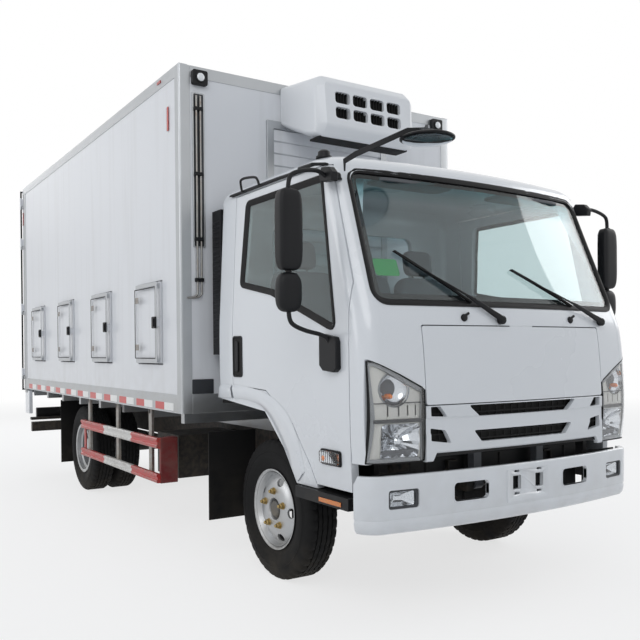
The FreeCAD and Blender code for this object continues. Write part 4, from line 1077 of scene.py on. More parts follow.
bumperSizes = {"thick": 0.018, "tow": ((0.265, 0.475), (0.553, 0.64)), "fog": ((0.668, 0.828), (0.548, 0.634)),
               "plate": ((-0.147, 0.153), (0.514, 0.672)), "squares": (0.08, 0.028, 0.574, 0.641)}


def addBumper():
    # Moulded bumper: plan line taken from the plain solid, with its own section, ledges and openings.
    s = bumperSizes
    low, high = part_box("front_bumper")
    half = [0.03 * i for i in range(1, 29)] + [0.855, 0.87, 0.885, 0.9, 0.912, 0.924, 0.934, 0.942]
    plan = []
    for x in [-x for x in reversed(half)] + [0.0] + half:
        plan.append(landOn(("front_bumper",), (x, -3.6, 0.685), frontward))
    plan = [Vector((-high.x, high.y, 0.69))] + plan + [Vector((high.x, high.y, 0.69))]
    section = ((0.03, 0.697), (0.006, 0.698), (0.0015, 0.694), (0.0, 0.688), (0.0, 0.6), (0.001, 0.508),
               (0.0045, 0.5), (0.0035, 0.49), (0.002, 0.482), (0.004, 0.47), (0.008, 0.452), (0.02, 0.437),
               (0.036, 0.431))
    bm = bmesh.new()
    rows = []
    for i, spot in enumerate(plan):
        along = (plan[min(len(plan) - 1, i + 1)] - plan[max(0, i - 1)])
        inward = Vector((-along.y, along.x, 0)).normalized()
        top = 0.66 if abs(spot.x) > 0.943 else 0.7
        rows.append([bm.verts.new((spot.x + inward.x * d, spot.y + inward.y * d, min(z, top - 0.05 * d)))
                     for d, z in section])
    for a, b in zip(rows, rows[1:]):
        for i in range(len(section) - 1):
            bm.faces.new((a[i], a[i + 1], b[i + 1], b[i]))
    shell = piece("bumper_shell", bm, "whitePaint", "chassis", angle=40)
    wall = shell.modifiers.new("wall", "SOLIDIFY")
    wall.thickness, wall.offset = s["thick"], -1
    graph = bpy.context.evaluated_depsgraph_get()
    solid = bpy.data.meshes.new_from_object(shell.evaluated_get(graph))
    shell.modifiers.clear()
    shell.data = solid
    bm = bmesh.new()
    for side in (-1, 1):
        for key, radius in (("tow", 0.02), ("fog", 0.014)):
            (x0, x1), (z0, z1) = s[key]
            lows, highs = sorted((side * x0, side * x1))
            prism(bm, roundRect(lows, highs, z0, z1, radius), "y", -3.1, -2.6)
        x, half, z0, z1 = s["squares"]
        prism(bm, roundRect(side * x - half, side * x + half, z0, z1, 0.004), "y", -3.1, -2.6)
        for z in (z0 - 0.026, z1 + 0.016):
            prism(bm, roundRect(side * x - 0.018, side * x + 0.018, z, z + 0.011, 0.003), "y", -3.1, -2.6)
    cutter = piece("bumper_cutter", bm, "darkGap", "chassis")
    carved(shell, cutter)
    shell.data.shade_smooth()
    shell.data.set_sharp_from_angle(angle=math.radians(28))
    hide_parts("front_bumper")
    # raised plate seat, hole lips and lamps
    (x0, x1), (z0, z1) = s["plate"]
    bm = bmesh.new()

    def frontOf(x):
        return landOn(("front_bumper",), (x, -3.6, 0.685), frontward).y

    for side in (-1, 1):
        (a, b), (c, d) = s["tow"]
        lows, highs = sorted((side * a, side * b))
        rim = [(u, v) for u, v in roundRect(lows - 0.006, highs + 0.006, c - 0.006, d + 0.006, 0.026, 6)]
        hole = roundRect(lows, highs, c, d, 0.02, 6)
        rings = []
        for outline, lift in ((rim, 0.0), (rim, 0.003), (hole, 0.003), (hole, -0.02)):
            rings.append([bm.verts.new((u, frontOf(u) - lift + 0.0005, v)) for u, v in outline])
        for one, two in zip(rings, rings[1:]):
            for i in range(len(rim)):
                j = (i + 1) % len(rim)
                bm.faces.new((one[i], one[j], two[j], two[i]))
    piece("tow_hole_lips", bm, "whitePaint", "chassis", angle=50)
    bm = bmesh.new()
    outline = roundRect(x0, x1, z0, z1, 0.006)
    near = [bm.verts.new((u, frontOf(u) - 0.0035, v)) for u, v in outline]
    far = [bm.verts.new((u, frontOf(u) + 0.001, v)) for u, v in outline]
    bm.faces.new(near)
    for i in range(len(outline)):
        j = (i + 1) % len(outline)
        bm.faces.new((near[i], near[j], far[j], far[i]))
    bm.faces.new(list(reversed(far)))
    seat = piece("plate_seat", bm, "whitePaint", "chassis", angle=50)
    bm = bmesh.new()
    for side in (-1, 1):
        x, half, low_, high_ = s["squares"]
        prism(bm, roundRect(side * x - half, side * x + half, low_, high_, 0.004), "y", -3.1, -2.6)
        for z in (low_ - 0.026, high_ + 0.016):
            prism(bm, roundRect(side * x - 0.018, side * x + 0.018, z, z + 0.011, 0.003), "y", -3.1, -2.6)
    carved(seat, piece("seat_cutter", bm, "darkGap", "chassis"))
    bm = bmesh.new()
    box(bm, (-0.14, -2.962, 0.53), (0.14, -2.956, 0.665))
    piece("plate_backing", bm, "blackPlastic", "chassis", bevel=0.001)
    for side, word in ((-1, "right"), (1, "left")):
        (a, b), (c, d) = s["fog"]
        lows, highs = sorted((side * a, side * b))
        outline = roundRect(lows + 0.001, highs - 0.001, c + 0.001, d - 0.001, 0.013, 4)
        centre = ((lows + highs) / 2, (c + d) / 2)
        for name, shrink, depth, finish in (("fog_lamp_rim_", 0.0, 0.002, "plateGrey"),
                                            ("fog_lamp_lens_", 0.82, 0.004, "lampLens")):
            bm = bmesh.new()
            rings = []
            inner = [(centre[0] + (u - centre[0]) * 0.84, centre[1] + (v - centre[1]) * 0.8) for u, v in outline]
            if shrink == 0.0:
                plan_ = ((outline, 0.006), (inner, 0.01), (inner, 0.03), (outline, 0.03))
            else:
                small = [(centre[0] + (u - centre[0]) * 0.5, centre[1] + (v - centre[1]) * 0.5) for u, v in outline]
                plan_ = ((inner, 0.014), (small, 0.009), (small, 0.012), (inner, 0.017))
            for line, back in plan_:
                rings.append([bm.verts.new((u, frontOf(u) + back, v)) for u, v in line])
            for k in range(4):
                one, two = rings[k], rings[(k + 1) % 4]
                if shrink and k == 1:
                    bm.faces.new(one)
                    bm.faces.new(list(reversed(two)))
                    continue
                for i in range(len(outline)):
                    j = (i + 1) % len(outline)
                    bm.faces.new((one[i], one[j], two[j], two[i]))
            piece(name + word, bm, finish, "chassis", angle=50)
        bm = bmesh.new()
        rings = []
        for k in range(6):
            share = 1 - k / 6
            line = [(centre[0] + (u - centre[0]) * 0.84 * share, centre[1] + (v - centre[1]) * 0.8 * share)
                    for u, v in outline]
            rings.append([bm.verts.new((u, frontOf(centre[0]) + 0.022 + 0.03 * (1 - share * share) - (
                frontOf(centre[0]) - frontOf(u)) * 1.0, v)) for u, v in line])
        for one, two in zip(rings, rings[1:]):
            for i in range(len(outline)):
                j = (i + 1) % len(outline)
                bm.faces.new((one[i], one[j], two[j], two[i]))
        bm.faces.new(rings[-1])
        piece("fog_lamp_bowl_" + word, bm, "chrome", "chassis", angle=10)


grilleSizes = {"half": 0.629, "low": 0.748, "high": 1.003, "chin": 0.785, "chinHalf": 0.575, "thick": 0.026,
               "front": -2.9842, "bow": 0.078}


def grilleY(x):
    return grilleSizes["front"] + grilleSizes["bow"] * x * x


def addGrille():
    s = grilleSizes
    steps = 64
    bm = bmesh.new()
    rows = []
    for i in range(steps + 1):
        x = -s["half"] + 2 * s["half"] * i / steps
        low = s["low"] if abs(x) > s["chinHalf"] + 0.01 else s["chin"]
        y = grilleY(x)
        levels = [low, low + 0.006, 0.82, 0.87, 0.88, 0.94, 0.95, s["high"] - 0.004, s["high"]]
        lifts = [0.006, 0.0, 0.0, 0.0, 0.004, 0.005, 0.0, 0.0, 0.004]
        outer = [bm.verts.new((x, y + lift, z)) for z, lift in zip(levels, lifts)]
        inner = [bm.verts.new((x, y + s["thick"], z)) for z in (s["high"], low)]
        rows.append(outer + inner)
    for a, b in zip(rows, rows[1:]):
        for i in range(len(a)):
            j = (i + 1) % len(a)
            bm.faces.new((a[i], b[i], b[j], a[j]))
    bm.faces.new(rows[0])
    bm.faces.new(list(reversed(rows[-1])))
    face = piece("grille_face", bm, "whitePlastic", "cab", angle=30)
    bm = bmesh.new()
    for corners in ([(-0.384, 0.9985), (0.384, 0.9985), (0.315, 0.944), (-0.315, 0.944)],
                    [(-0.352, 0.878), (0.352, 0.878), (0.296, 0.823), (-0.303, 0.823)]):
        prism(bm, [tuple(p) for p in roundPoly(corners, 0.008, 4)], "y", -3.1, -2.85)
    for side in (-1, 1):
        for corners in ([(0.604, 0.9985), (0.55, 0.9985), (0.508, 0.949), (0.602, 0.955)],
                        [(0.604, 0.9), (0.52, 0.887), (0.487, 0.826), (0.602, 0.842)]):
            prism(bm, [(side * p.x, p.y) for p in roundPoly(corners, 0.006, 4)], "y", -3.1, -2.85)
    carved(face, piece("grille_cutter", bm, "darkGap", "cab"))
    face.data.shade_smooth()
    face.data.set_sharp_from_angle(angle=math.radians(24))
    rounded = face.modifiers.new("edges", "BEVEL")
    rounded.width, rounded.segments, rounded.limit_method = 0.003, 2, "ANGLE"
    rounded.angle_limit = math.radians(40)
    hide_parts("grille")
    # dark mesh behind the openings, with a near-black backing sheet as painted shade in the cavity behind the grille
    bm = bmesh.new()
    for i in range(24):
        x = -0.61 + 1.22 * (i + 0.5) / 24
        box(bm, (x - 0.002, grilleY(x) + 0.03, 0.79), (x + 0.002, grilleY(x) + 0.036, 1.0))
    for k in range(7):
        z = 0.8 + 0.19 * k / 6
        rows = []
        for i in range(25):
            x = -0.61 + 1.22 * i / 24
            rows.append([bm.verts.new((x, grilleY(x) + 0.028 + dy, z + dz)) for dy, dz in
                         ((0, 0), (0.008, 0), (0.008, 0.006), (0, 0.006))])
        for a, b in zip(rows, rows[1:]):
            for i in range(4):
                bm.faces.new((a[i], a[(i + 1) % 4], b[(i + 1) % 4], b[i]))
    # solid backing sheet: painted shade behind the grille openings
    rows = [[bm.verts.new((x, grilleY(x) + 0.042, z)) for z in (0.775, 1.0)] for x in
            [-0.615 + 1.23 * i / 24 for i in range(25)]]
    for a, b in zip(rows, rows[1:]):
        bm.faces.new((a[0], b[0], b[1], a[1]))
    piece("grille_mesh", bm, "darkGap", "cab")
    # black skin on the floor's front edge, and a splash panel behind the bumper
    bm = bmesh.new()
    box(bm, (-0.6, -2.9435, 0.766), (0.6, -2.941, 0.806))
    piece("floor_edge_skin", bm, "blackPlastic", "cab")
    bm = bmesh.new()
    box(bm, (-0.6, -2.8, 0.5), (0.6, -2.794, 0.738))
    for k in range(5):
        box(bm, (-0.5 + 0.25 * k - 0.006, -2.806, 0.51), (-0.5 + 0.25 * k + 0.006, -2.8, 0.73))
    for a, b in ((-0.88, -0.602), (0.602, 0.88)):
        box(bm, (a, -2.842, 0.5), (b, -2.836, 0.694))
    piece("splash_panel", bm, "blackPlastic", "chassis", bevel=0.002)


addScreenSeal()
addWipers()
addDoorWindowSeal()
addArches()
addDoorHandles()
addSideMarkers()
addSteps()
addBumper()
addGrille()
print("cab shell done")


# ---------- headlamps

lampSizes = {"inner": 0.629, "outer": 0.911, "low": 0.752, "wall": 0.004, "top": ((0.629, 1.083), (0.763, 1.152),
             (0.89, 1.21), (0.911, 1.212)), "bowl": (-0.752, 0.846, 0.1, 0.082), "turn": (-0.785, 1.082, 0.076),
             "strip": (0.95, 1.02)}


def lampTop(x):
    spots = lampSizes["top"]
    for (a, za), (b, zb) in zip(spots, spots[1:]):
        if x <= b:
            return za + (zb - za) * (x - a) / (b - a)
    return spots[-1][1]


def lampFace(x, z):
    # Depth of the lamp's front at a place, x counted outwards.
    for back in (0, 0.004, 0.008, 0.014):
        for down in (0, 0.006, 0.014, 0.03):
            hit = landOn(("headlamps",), (-(x - back), -3.6, z - down), frontward)
            if hit and hit.y < -2.86:
                return hit.y + (0.9 * back if x > 0.86 else 0)
    return -2.9


def lampGrid(bm, side, depths, shrink, columns=30, rows=18):
    # Shell following the lamp's front, between two depths behind it.
    s = lampSizes
    layers = []
    for depth in depths:
        layer = []
        for i in range(columns + 1):
            x = s["inner"] + shrink + (s["outer"] - s["inner"] - 2 * shrink) * i / columns
            low, high = s["low"] + shrink, lampTop(x) - shrink
            layer.append([bm.verts.new((side * x, lampFace(x, low + (high - low) * j / rows) + depth,
                                        low + (high - low) * j / rows)) for j in range(rows + 1)])
        layers.append(layer)
    for layer in layers:
        for i in range(columns):
            for j in range(rows):
                bm.faces.new((layer[i][j], layer[i + 1][j], layer[i + 1][j + 1], layer[i][j + 1]))
    a, b = layers
    for i in range(columns):
        for j in (0, rows):
            bm.faces.new((a[i][j], a[i + 1][j], b[i + 1][j], b[i][j]))
    for j in range(rows):
        for i in (0, columns):
            bm.faces.new((a[i][j], a[i][j + 1], b[i][j + 1], b[i][j]))


def addHeadlamps():
    s = lampSizes
    for side, word in ((-1, "right"), (1, "left")):
        bm = bmesh.new()
        lampGrid(bm, side, (0.0, s["wall"]), 0.0)
        lens = piece("headlamp_lens_" + word, bm, "lampLens", "cab", angle=60)
        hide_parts("headlamps")
        bm = bmesh.new()
        lampGrid(bm, side, (0.085, 0.095), 0.0, 16, 10)
        piece("headlamp_back_" + word, bm, "darkTrim", "cab", angle=60)
        # frame round the edge, closed back to the housing
        outline = [(s["inner"], s["low"]), (s["outer"], s["low"])] + [(x, z) for x, z in reversed(s["top"])]
        dense = densePoly([Vector(p) for p in outline], 0.02)
        centre = Vector((0.78, 0.95))
        bm = bmesh.new()
        rows = []
        for p in dense:
            pull = (p - centre)
            inner = p - pull.normalized() * 0.024
            y, yIn = lampFace(p.x, p.y), lampFace(inner.x, inner.y)
            rows.append([bm.verts.new((side * a, b, c)) for a, b, c in
                         ((p.x, y + 0.0045, p.y), (inner.x, yIn + 0.006, inner.y),
                          (inner.x, yIn + 0.03, inner.y), (p.x, y + 0.085, p.y))])
        for i in range(len(rows)):
            a, b = rows[i], rows[(i + 1) % len(rows)]
            for k in range(4):
                bm.faces.new((a[k], b[k], b[(k + 1) % 4], a[(k + 1) % 4]))
        piece("headlamp_frame_" + word, bm, "lampGrey", "cab", angle=40)
        # bezel with openings for the two bowls
        bm = bmesh.new()
        lampGrid(bm, side, (0.02, 0.026), 0.018)
        bezel = piece("headlamp_bezel_" + word, bm, "lampSilver", "cab", angle=40)
        bm = bmesh.new()
        bx, bz, bw, bh = s["bowl"]
        tx, tz, tr = s["turn"]
        prism(bm, roundRect(-side * bx - bw, -side * bx + bw, bz - bh, bz + bh, 0.02), "y", -3.1, -2.7)
        prism(bm, circle(-side * tx, tz, tr - 0.004, 32), "y", -3.1, -2.7)
        for x in (0.82, 0.763, 0.716, 0.673):
            prism(bm, roundRect(side * x - 0.0045, side * x + 0.0045, 0.962, 1.01, 0.004, 3), "y", -3.1, -2.7)
        carved(bezel, piece("lamp_cutter", bm, "darkGap", "cab"))
        # main bowl: stepped facets round a bright bulb shield
        bm = bmesh.new()
        yFace = lampFace(-bx, bz)
        outer = densePoly([Vector(p) for p in roundRect(-side * bx - bw, -side * bx + bw, bz - bh, bz + bh, 0.02)], 0.02)
        middle = Vector((-side * bx, bz))
        rings = []
        for k in range(9):
            share = 1 - k / 9
            ring = []
            for i, p in enumerate(outer):
                flat = middle + (p - middle) * share
                wave = 0.003 * ((i * 7 + k * 5) % 5 - 2)
                base = lampFace(abs(p.x), p.y)
                ring.append(bm.verts.new((flat.x, base * share + yFace * (1 - share) + 0.022
                                          + 0.055 * (1 - share ** 2) + wave, flat.y)))
            rings.append(ring)
        for a, b in zip(rings, rings[1:]):
            for i in range(len(a)):
                j = (i + 1) % len(a)
                bm.faces.new((a[i], a[j], b[j], b[i]))
        bm.faces.new(rings[-1])
        piece("main_bowl_" + word, bm, "chrome", "cab", angle=4)
        bm = bmesh.new()
        turned(bm, [(0.02, 0.0005), (0.022, 0.012), (0.03, 0.02), (0.05, 0.021), (0.07, 0.016)],
               (-side * bx, yFace + 0.012, bz), "y", 24)
        piece("main_bulb_shield_" + word, bm, "chrome", "cab")
        # turn signal bowl with its bulb
        bm = bmesh.new()
        yTurn = lampFace(-tx, tz)
        rings = []
        for k in range(9):
            r = tr * (1 - k / 9 * 0.86)
            ring = []
            for i in range(40):
                a = 2 * math.pi * i / 40
                x, z = -tx + r * math.cos(a), tz + r * math.sin(a)
                rim = lampFace(-tx + tr * 0.9 * math.cos(a), tz + tr * 0.9 * math.sin(a))
                lean = 1 - k / 9
                ring.append(bm.verts.new((side * x, rim * lean + yTurn * (1 - lean) + 0.012
                                          + 0.05 * math.sqrt(max(0, 1 - (r / tr) ** 2)), z)))
            rings.append(ring)
        for a, b in zip(rings, rings[1:]):
            for i in range(40):
                j = (i + 1) % 40
                bm.faces.new((a[i], a[j], b[j], b[i]))
        bm.faces.new(rings[-1])
        piece("turn_bowl_" + word, bm, "chrome", "cab", angle=25)
        bm = bmesh.new()
        turned(bm, [(0.012, 0.0005), (0.014, 0.008), (0.024, 0.013), (0.04, 0.012), (0.06, 0.009)],
               (side * (-tx + 0.02), yTurn, tz - 0.03), "y", 20)
        piece("turn_bulb_" + word, bm, "amber", "cab")
        bm = bmesh.new()
        for k in range(25):
            x = s["inner"] + 0.012 + (s["outer"] - s["inner"] - 0.03) * k / 24
            if k:
                y0, y1 = lampFace(last, 0.985), lampFace(x, 0.985)
                for z0, z1, d in ((0.934, 0.95, 0.006), (1.02, 1.024, 0.012)):
                    vs = [bm.verts.new((side * a, y + q, z)) for a, y in ((last, y0), (x, y1)) for q in (d, d + 0.014)
                          for z in (z0, z1)]
                    for f in ((0, 1, 5, 4), (2, 6, 7, 3), (0, 4, 6, 2), (1, 3, 7, 5)):
                        bm.faces.new([vs[i] for i in f])
            last = x
        piece("headlamp_strip_" + word, bm, "darkTrim", "cab", angle=40)
        bm = bmesh.new()
        rows = []
        for p in dense:
            inner = p - (p - centre).normalized() * 0.006
            y, yIn = lampFace(p.x, p.y), lampFace(inner.x, inner.y)
            rows.append([bm.verts.new((side * a, b, c)) for a, b, c in
                         ((p.x, y - 0.0012, p.y), (inner.x, yIn - 0.0012, inner.y),
                          (inner.x, yIn + 0.003, inner.y), (p.x, y + 0.006, p.y))])
        for i in range(len(rows)):
            a, b = rows[i], rows[(i + 1) % len(rows)]
            for k in range(4):
                bm.faces.new((a[k], b[k], b[(k + 1) % 4], a[(k + 1) % 4]))
        piece("headlamp_edge_" + word, bm, "gasket", "cab", angle=40)
        bm = bmesh.new()
        for r0, r1, d in ((tr - 0.002, tr + 0.004, 0.017),):
            rings = []
            for radius, deep in ((r0, d), (r1, d), (r1, d + 0.01), (r0, d + 0.01)):
                rings.append([bm.verts.new((side * (-tx + radius * math.cos(2 * math.pi * i / 48)),
                                            lampFace(-tx + radius * math.cos(2 * math.pi * i / 48),
                                                     tz + radius * math.sin(2 * math.pi * i / 48)) + deep,
                                            tz + radius * math.sin(2 * math.pi * i / 48))) for i in range(48)])
            for one, two in zip(rings, rings[1:] + rings[:1]):
                for i in range(48):
                    j = (i + 1) % 48
                    bm.faces.new((one[i], one[j], two[j], two[i]))
        piece("turn_ring_" + word, bm, "lampGrey", "cab", angle=40)


# ---------- mirrors and small things on the cab

mirrorSizes = {"big": ((-1.208, -1.085), (-2.65, -2.572), (1.626, 1.996)),
               "small": ((-1.208, -1.085), (-2.646, -2.568), (1.436, 1.618))}


def puffed(bm, low, high, power=3.4, steps=14, flatBack=True):
    # Rounded closed housing, flattened on the glass side.
    low, high = Vector(low), Vector(high)
    mid, half = (low + high) / 2, (high - low) / 2
    grid = {}

    def spot(p):
        n = (abs(p[0]) ** power + abs(p[1]) ** power + abs(p[2]) ** power) ** (1 / power)
        q = [c / n for c in p]
        if flatBack and q[1] > 0.55:
            q[1] = 0.55 + (q[1] - 0.55) * 0.2
        return Vector((mid.x + q[0] * half.x, mid.y + q[1] * half.y, mid.z + q[2] * half.z))

    def vert(p):
        key = tuple(round(c, 5) for c in p)
        if key not in grid:
            grid[key] = bm.verts.new(spot(p))
        return grid[key]

    line = [-1 + 2 * i / steps for i in range(steps + 1)]
    for axis in range(3):
        for sign in (-1, 1):
            for a, b in zip(line, line[1:]):
                for c, d in zip(line, line[1:]):
                    corners = []
                    for u, v in ((a, c), (b, c), (b, d), (a, d)):
                        p = [u, v]
                        p.insert(axis, sign)
                        corners.append(vert(p))
                    bm.faces.new(corners)


def addDoorMirrors():
    s = mirrorSizes
    for side, word in ((-1, "right"), (1, "left")):
        body = "cab_door_" + word
        for name, key in (("main", "big"), ("wide", "small")):
            (x0, x1), (y0, y1), (z0, z1) = s[key]
            lows, highs = sorted((-side * x0, -side * x1))
            bm = bmesh.new()
            puffed(bm, (lows, y0, z0), (highs, y1, z1), 5.0 if name == "main" else 3.2)
            housing = piece(f"{name}_mirror_{word}", bm, "blackPlastic", body, angle=70)
            if name == "main":
                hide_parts("door_mirrors_" + word)
            bm = bmesh.new()
            prism(bm, roundRect(lows + 0.012, highs - 0.012, z0 + 0.016, z1 - 0.016, 0.024), "y", y1 - 0.016,
                  y1 - 0.0095)
            piece(f"{name}_mirror_glass_{word}", bm, "mirrorGlass", body, bevel=0.001)
        routes = [[(-0.925, -2.6, 2.075), (-0.96, -2.6, 2.1), (-1.02, -2.61, 2.1), (-1.11, -2.615, 2.078),
                   (-1.148, -2.615, 2.05), (-1.148, -2.612, 1.99)],
                  [(-1.148, -2.61, 1.44), (-1.148, -2.612, 1.405), (-1.13, -2.618, 1.375), (-1.06, -2.63, 1.348),
                   (-0.99, -2.64, 1.335), (-0.953, -2.65, 1.31), (-0.945, -2.65, 1.27)]]
        tube("mirror_stays_" + word, [[(-side * x, y, z) for x, y, z in route] for route in routes], 0.0105,
             "blackPlastic", body)
        bm = bmesh.new()
        turned(bm, [(1.61, 0.014), (1.632, 0.014)], (side * 1.148, -2.61, 0), "z", 16)
        turned(bm, [(1.99, 0.019), (2.0, 0.019)], (side * 1.148, -2.612, 0), "z", 16)
        lows, highs = sorted((side * 0.931, side * 0.962))
        outline = [(-2.572, 1.332), (-2.6, 1.338), (-2.7, 1.322), (-2.712, 1.3), (-2.714, 1.175), (-2.69, 1.158),
                   (-2.6, 1.166), (-2.572, 1.19)]
        prism(bm, outline, "x", lows, highs)
        lows, highs = sorted((side * 0.9, side * 0.938))
        prism(bm, [(-2.655, 2.05), (-2.56, 2.062), (-2.545, 2.1), (-2.57, 2.13), (-2.63, 2.12), (-2.66, 2.09)], "x",
              lows, highs)
        piece("mirror_brackets_" + word, bm, "blackPlastic", body, bevel=0.006, segments=3)


kerbSizes = {"centre": (-0.575, -2.9105, 2.222), "radius": 0.128, "thick": 0.03}


def addKerbMirror():
    s = kerbSizes
    x, y, z = s["centre"]
    bm = bmesh.new()
    r = s["radius"]
    turned(bm, [(0.0, r * 0.2), (0.001, r * 0.7), (0.005, r * 0.93), (0.01, r), (0.016, r), (0.02, r * 0.95),
                (0.032, r * 0.6), (0.036, r * 0.3)], (x, y, z), "z", 56)
    disc = piece("kerb_mirror_disc", bm, "blackPlastic", "cab", angle=50)
    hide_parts("kerb_mirror")
    bm = bmesh.new()
    turned(bm, [(-0.006, 0.002), (-0.004, r * 0.5), (0.0, r * 0.8), (0.003, r * 0.9)], (x, y, z), "z", 56)
    piece("kerb_mirror_glass", bm, "mirrorGlass", "cab", angle=60)
    bm = bmesh.new()
    box(bm, (x - 0.035, y - 0.02, z + 0.033), (x + 0.022, y + 0.03, z + 0.056))
    turned(bm, [(0.055, 0.009), (0.072, 0.008), (0.075, 0.005)], (x - 0.004, y, z), "z", 14)
    piece("kerb_mirror_bracket", bm, "plateGrey", "cab", bevel=0.002)
    path = [(-0.862, -2.655, 2.112), (-0.895, -2.7, 2.135), (-0.86, -2.74, 2.163), (-0.66, -2.875, 2.268),
            (-0.585, -2.9, 2.274)]
    bm = bmesh.new()
    rows = []
    for i, p in enumerate(path):
        here = Vector(p)
        along = Vector(path[min(len(path) - 1, i + 1)]) - Vector(path[max(0, i - 1)])
        side = along.cross(Vector((0, 0, 1))).normalized() * 0.004
        up = side.cross(along).normalized() * 0.013
        rows.append([bm.verts.new(here + a * side + b * up) for a, b in ((-1, -1), (1, -1), (1, 1), (-1, 1))])
    for a, b in zip(rows, rows[1:]):
        for i in range(4):
            bm.faces.new((a[i], a[(i + 1) % 4], b[(i + 1) % 4], b[i]))
    bm.faces.new(rows[0])
    bm.faces.new(list(reversed(rows[-1])))
    piece("kerb_mirror_arm", bm, "blackPlastic", "cab", bevel=0.002)


def addRoofFittings():
    roofNodes = ("cab_roof", "cab_body", "cab_front")
    for k, (x, y, r, tall) in enumerate(((-0.82, -2.42, 0.032, 0.9), (-0.86, -2.6, 0.014, 1.6))):
        spot = landOn(roofNodes, (x, y, 2.6), Vector((0, 0, -1)))
        if spot:
            bm = bmesh.new()
            turned(bm, [(-0.004, r * 1.3), (0.006, r * 1.25), (0.008, r), (r * tall, r * 0.92),
                        (r * tall + 0.008, r * 0.6), (r * tall + 0.011, r * 0.2)], spot, "z", 24)
            piece(f"roof_knob_{k + 1}", bm, "blackPlastic", "cab")
    for side, word in ((-1, "right"), (1, "left")):
        place = onSide(side)
        bm = bmesh.new()
        rows = []
        for i in range(25):
            t = i / 24
            y = -1.56 - 0.98 * t
            z = 2.163 - 0.03 * max(0.0, t - 0.55)
            base = place(Vector((y, z)), 0.0)
            rows.append([bm.verts.new((base.x + side * a, y, z + b)) for a, b in
                         ((-0.004, 0.012), (0.014, 0.014), (0.02, 0.006), (0.018, 0.0), (0.012, 0.004), (-0.004, 0.0))])
        for a, b in zip(rows, rows[1:]):
            for i in range(6):
                bm.faces.new((a[i], a[(i + 1) % 6], b[(i + 1) % 6], b[i]))
        bm.faces.new(rows[0])
        bm.faces.new(list(reversed(rows[-1])))
        piece("gutter_visor_" + word, bm, "blackPlastic", "cab")
    loop = [(-0.915, -1.728, 2.16), (-0.925, -1.722, 2.21), (-0.93, -1.74, 2.236), (-0.93, -1.9, 2.216),
            (-0.925, -1.925, 2.2), (-0.915, -1.925, 2.165)]
    tube("grab_loop", [loop], 0.007, "blackPlastic", "cab")


def addIntake():
    # Ribs round the rear edge of the intake pipe.
    low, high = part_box("air_intake")
    bm = bmesh.new()
    for k in range(26):
        z = low.z + 0.06 + (high.z - low.z - 0.14) * k / 25
        box(bm, (low.x - 0.003, low.y + 0.02, z), (high.x - 0.02, high.y - 0.004, z + 0.012))
    piece("intake_ribs", bm, "blackPlastic", "cab", bevel=0.003)


# ---------- inside the cab

def cushion(name, centre, half, crown, lean, channels=(), pull=0.05, power=6.0, finish="seatFabric"):
    # Crowned closed form: sides drawn in between the corners, sewn channels along the crowned face.
    bm = bmesh.new()
    grid = {}
    turn = Matrix.Translation(centre) @ Matrix.Rotation(lean, 4, "X")

    def spot(p):
        n = sum(abs(c) ** power for c in p) ** (1 / power)
        x, y, z = (c / n for c in p)
        x *= 1 - pull * (1 - y * y)
        y *= 1 - pull * (1 - x * x)
        lift = crown * (1 - x * x) * (1 - y * y) * max(0.0, z)
        for c, axis in channels:
            along = x if axis == "x" else y
            lift -= 0.009 * math.exp(-((along - c) * half[0 if axis == "x" else 1] / 0.008) ** 2) * max(0.0, z)
        seam = 0.004 * math.exp(-((abs(z) - 0.45) * half[2] / 0.005) ** 2)
        grow = 1 - seam / max(half[0], half[1])
        wrinkle = 0.0022 * math.sin(21 * x + 5 * y) * math.sin(13 * y + 3 * x) * max(0.0, z)
        return turn @ Vector((x * half[0] * grow, y * half[1] * grow, z * half[2] + lift + wrinkle))

    def vert(p):
        key = tuple(round(c, 5) for c in p)
        if key not in grid:
            grid[key] = bm.verts.new(spot(p))
        return grid[key]

    steps = (44, 44, 14)
    lines = [[-1 + 2 * i / n for i in range(n + 1)] for n in steps]
    for axis in range(3):
        others = [k for k in range(3) if k != axis]
        for sign in (-1, 1):
            for a, b in zip(lines[others[0]], lines[others[0]][1:]):
                for c, d in zip(lines[others[1]], lines[others[1]][1:]):
                    corners = []
                    for u, v in ((a, c), (b, c), (b, d), (a, d)):
                        p = [u, v]
                        p.insert(axis, sign)
                        corners.append(vert(p))
                    bm.faces.new(corners)
    obj = piece(name, bm, finish, "cab", angle=70)
    return obj


seatSizes = {"places": ((0.43, 0.25, True, "driver"), (-0.04, 0.18, False, "middle"), (-0.5, 0.24, True, "outer"))}


def addSeats():
    for centre, half, headrest, word in seatSizes["places"]:
        channels = ((-0.55, "x"), (0.55, "x")) if half > 0.2 else ()
        seat = cushion("seat_cushion_" + word, (centre, -2.095, 1.165), (half - 0.004, 0.25, 0.068), 0.012, -0.04,
                       channels + ((0.45, "y"),), 0.03, 6.0)
        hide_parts("seats")
        cushion("seat_back_" + word, (centre, -1.765, 1.475), (half - 0.008, 0.27, 0.05), 0.014,
                math.radians(90 - 11.5) + math.pi, channels + ((-0.35, "y"), (0.3, "y")), 0.04, 5.0)
        if headrest:
            cushion("head_pad_" + word, (centre, -1.67, 1.835), (0.118, 0.088, 0.034), 0.01,
                    math.radians(90 - 8) + math.pi, (), 0.05, 4.0)
            tube("head_posts_" + word, [[(centre + dx, -1.685, 1.72), (centre + dx, -1.668, 1.8)] for dx in
                                        (-0.05, 0.05)], 0.006, "plainSteel", "cab", curved=False)
        bm = bmesh.new()
        box(bm, (centre - half + 0.015, -2.33, 1.0258), (centre + half - 0.015, -1.86, 1.1))
        box(bm, (centre - half + 0.03, -1.86, 1.06), (centre + half - 0.03, -1.835, 1.2))
        piece("seat_base_" + word, bm, "darkTrim", "cab", bevel=0.008)


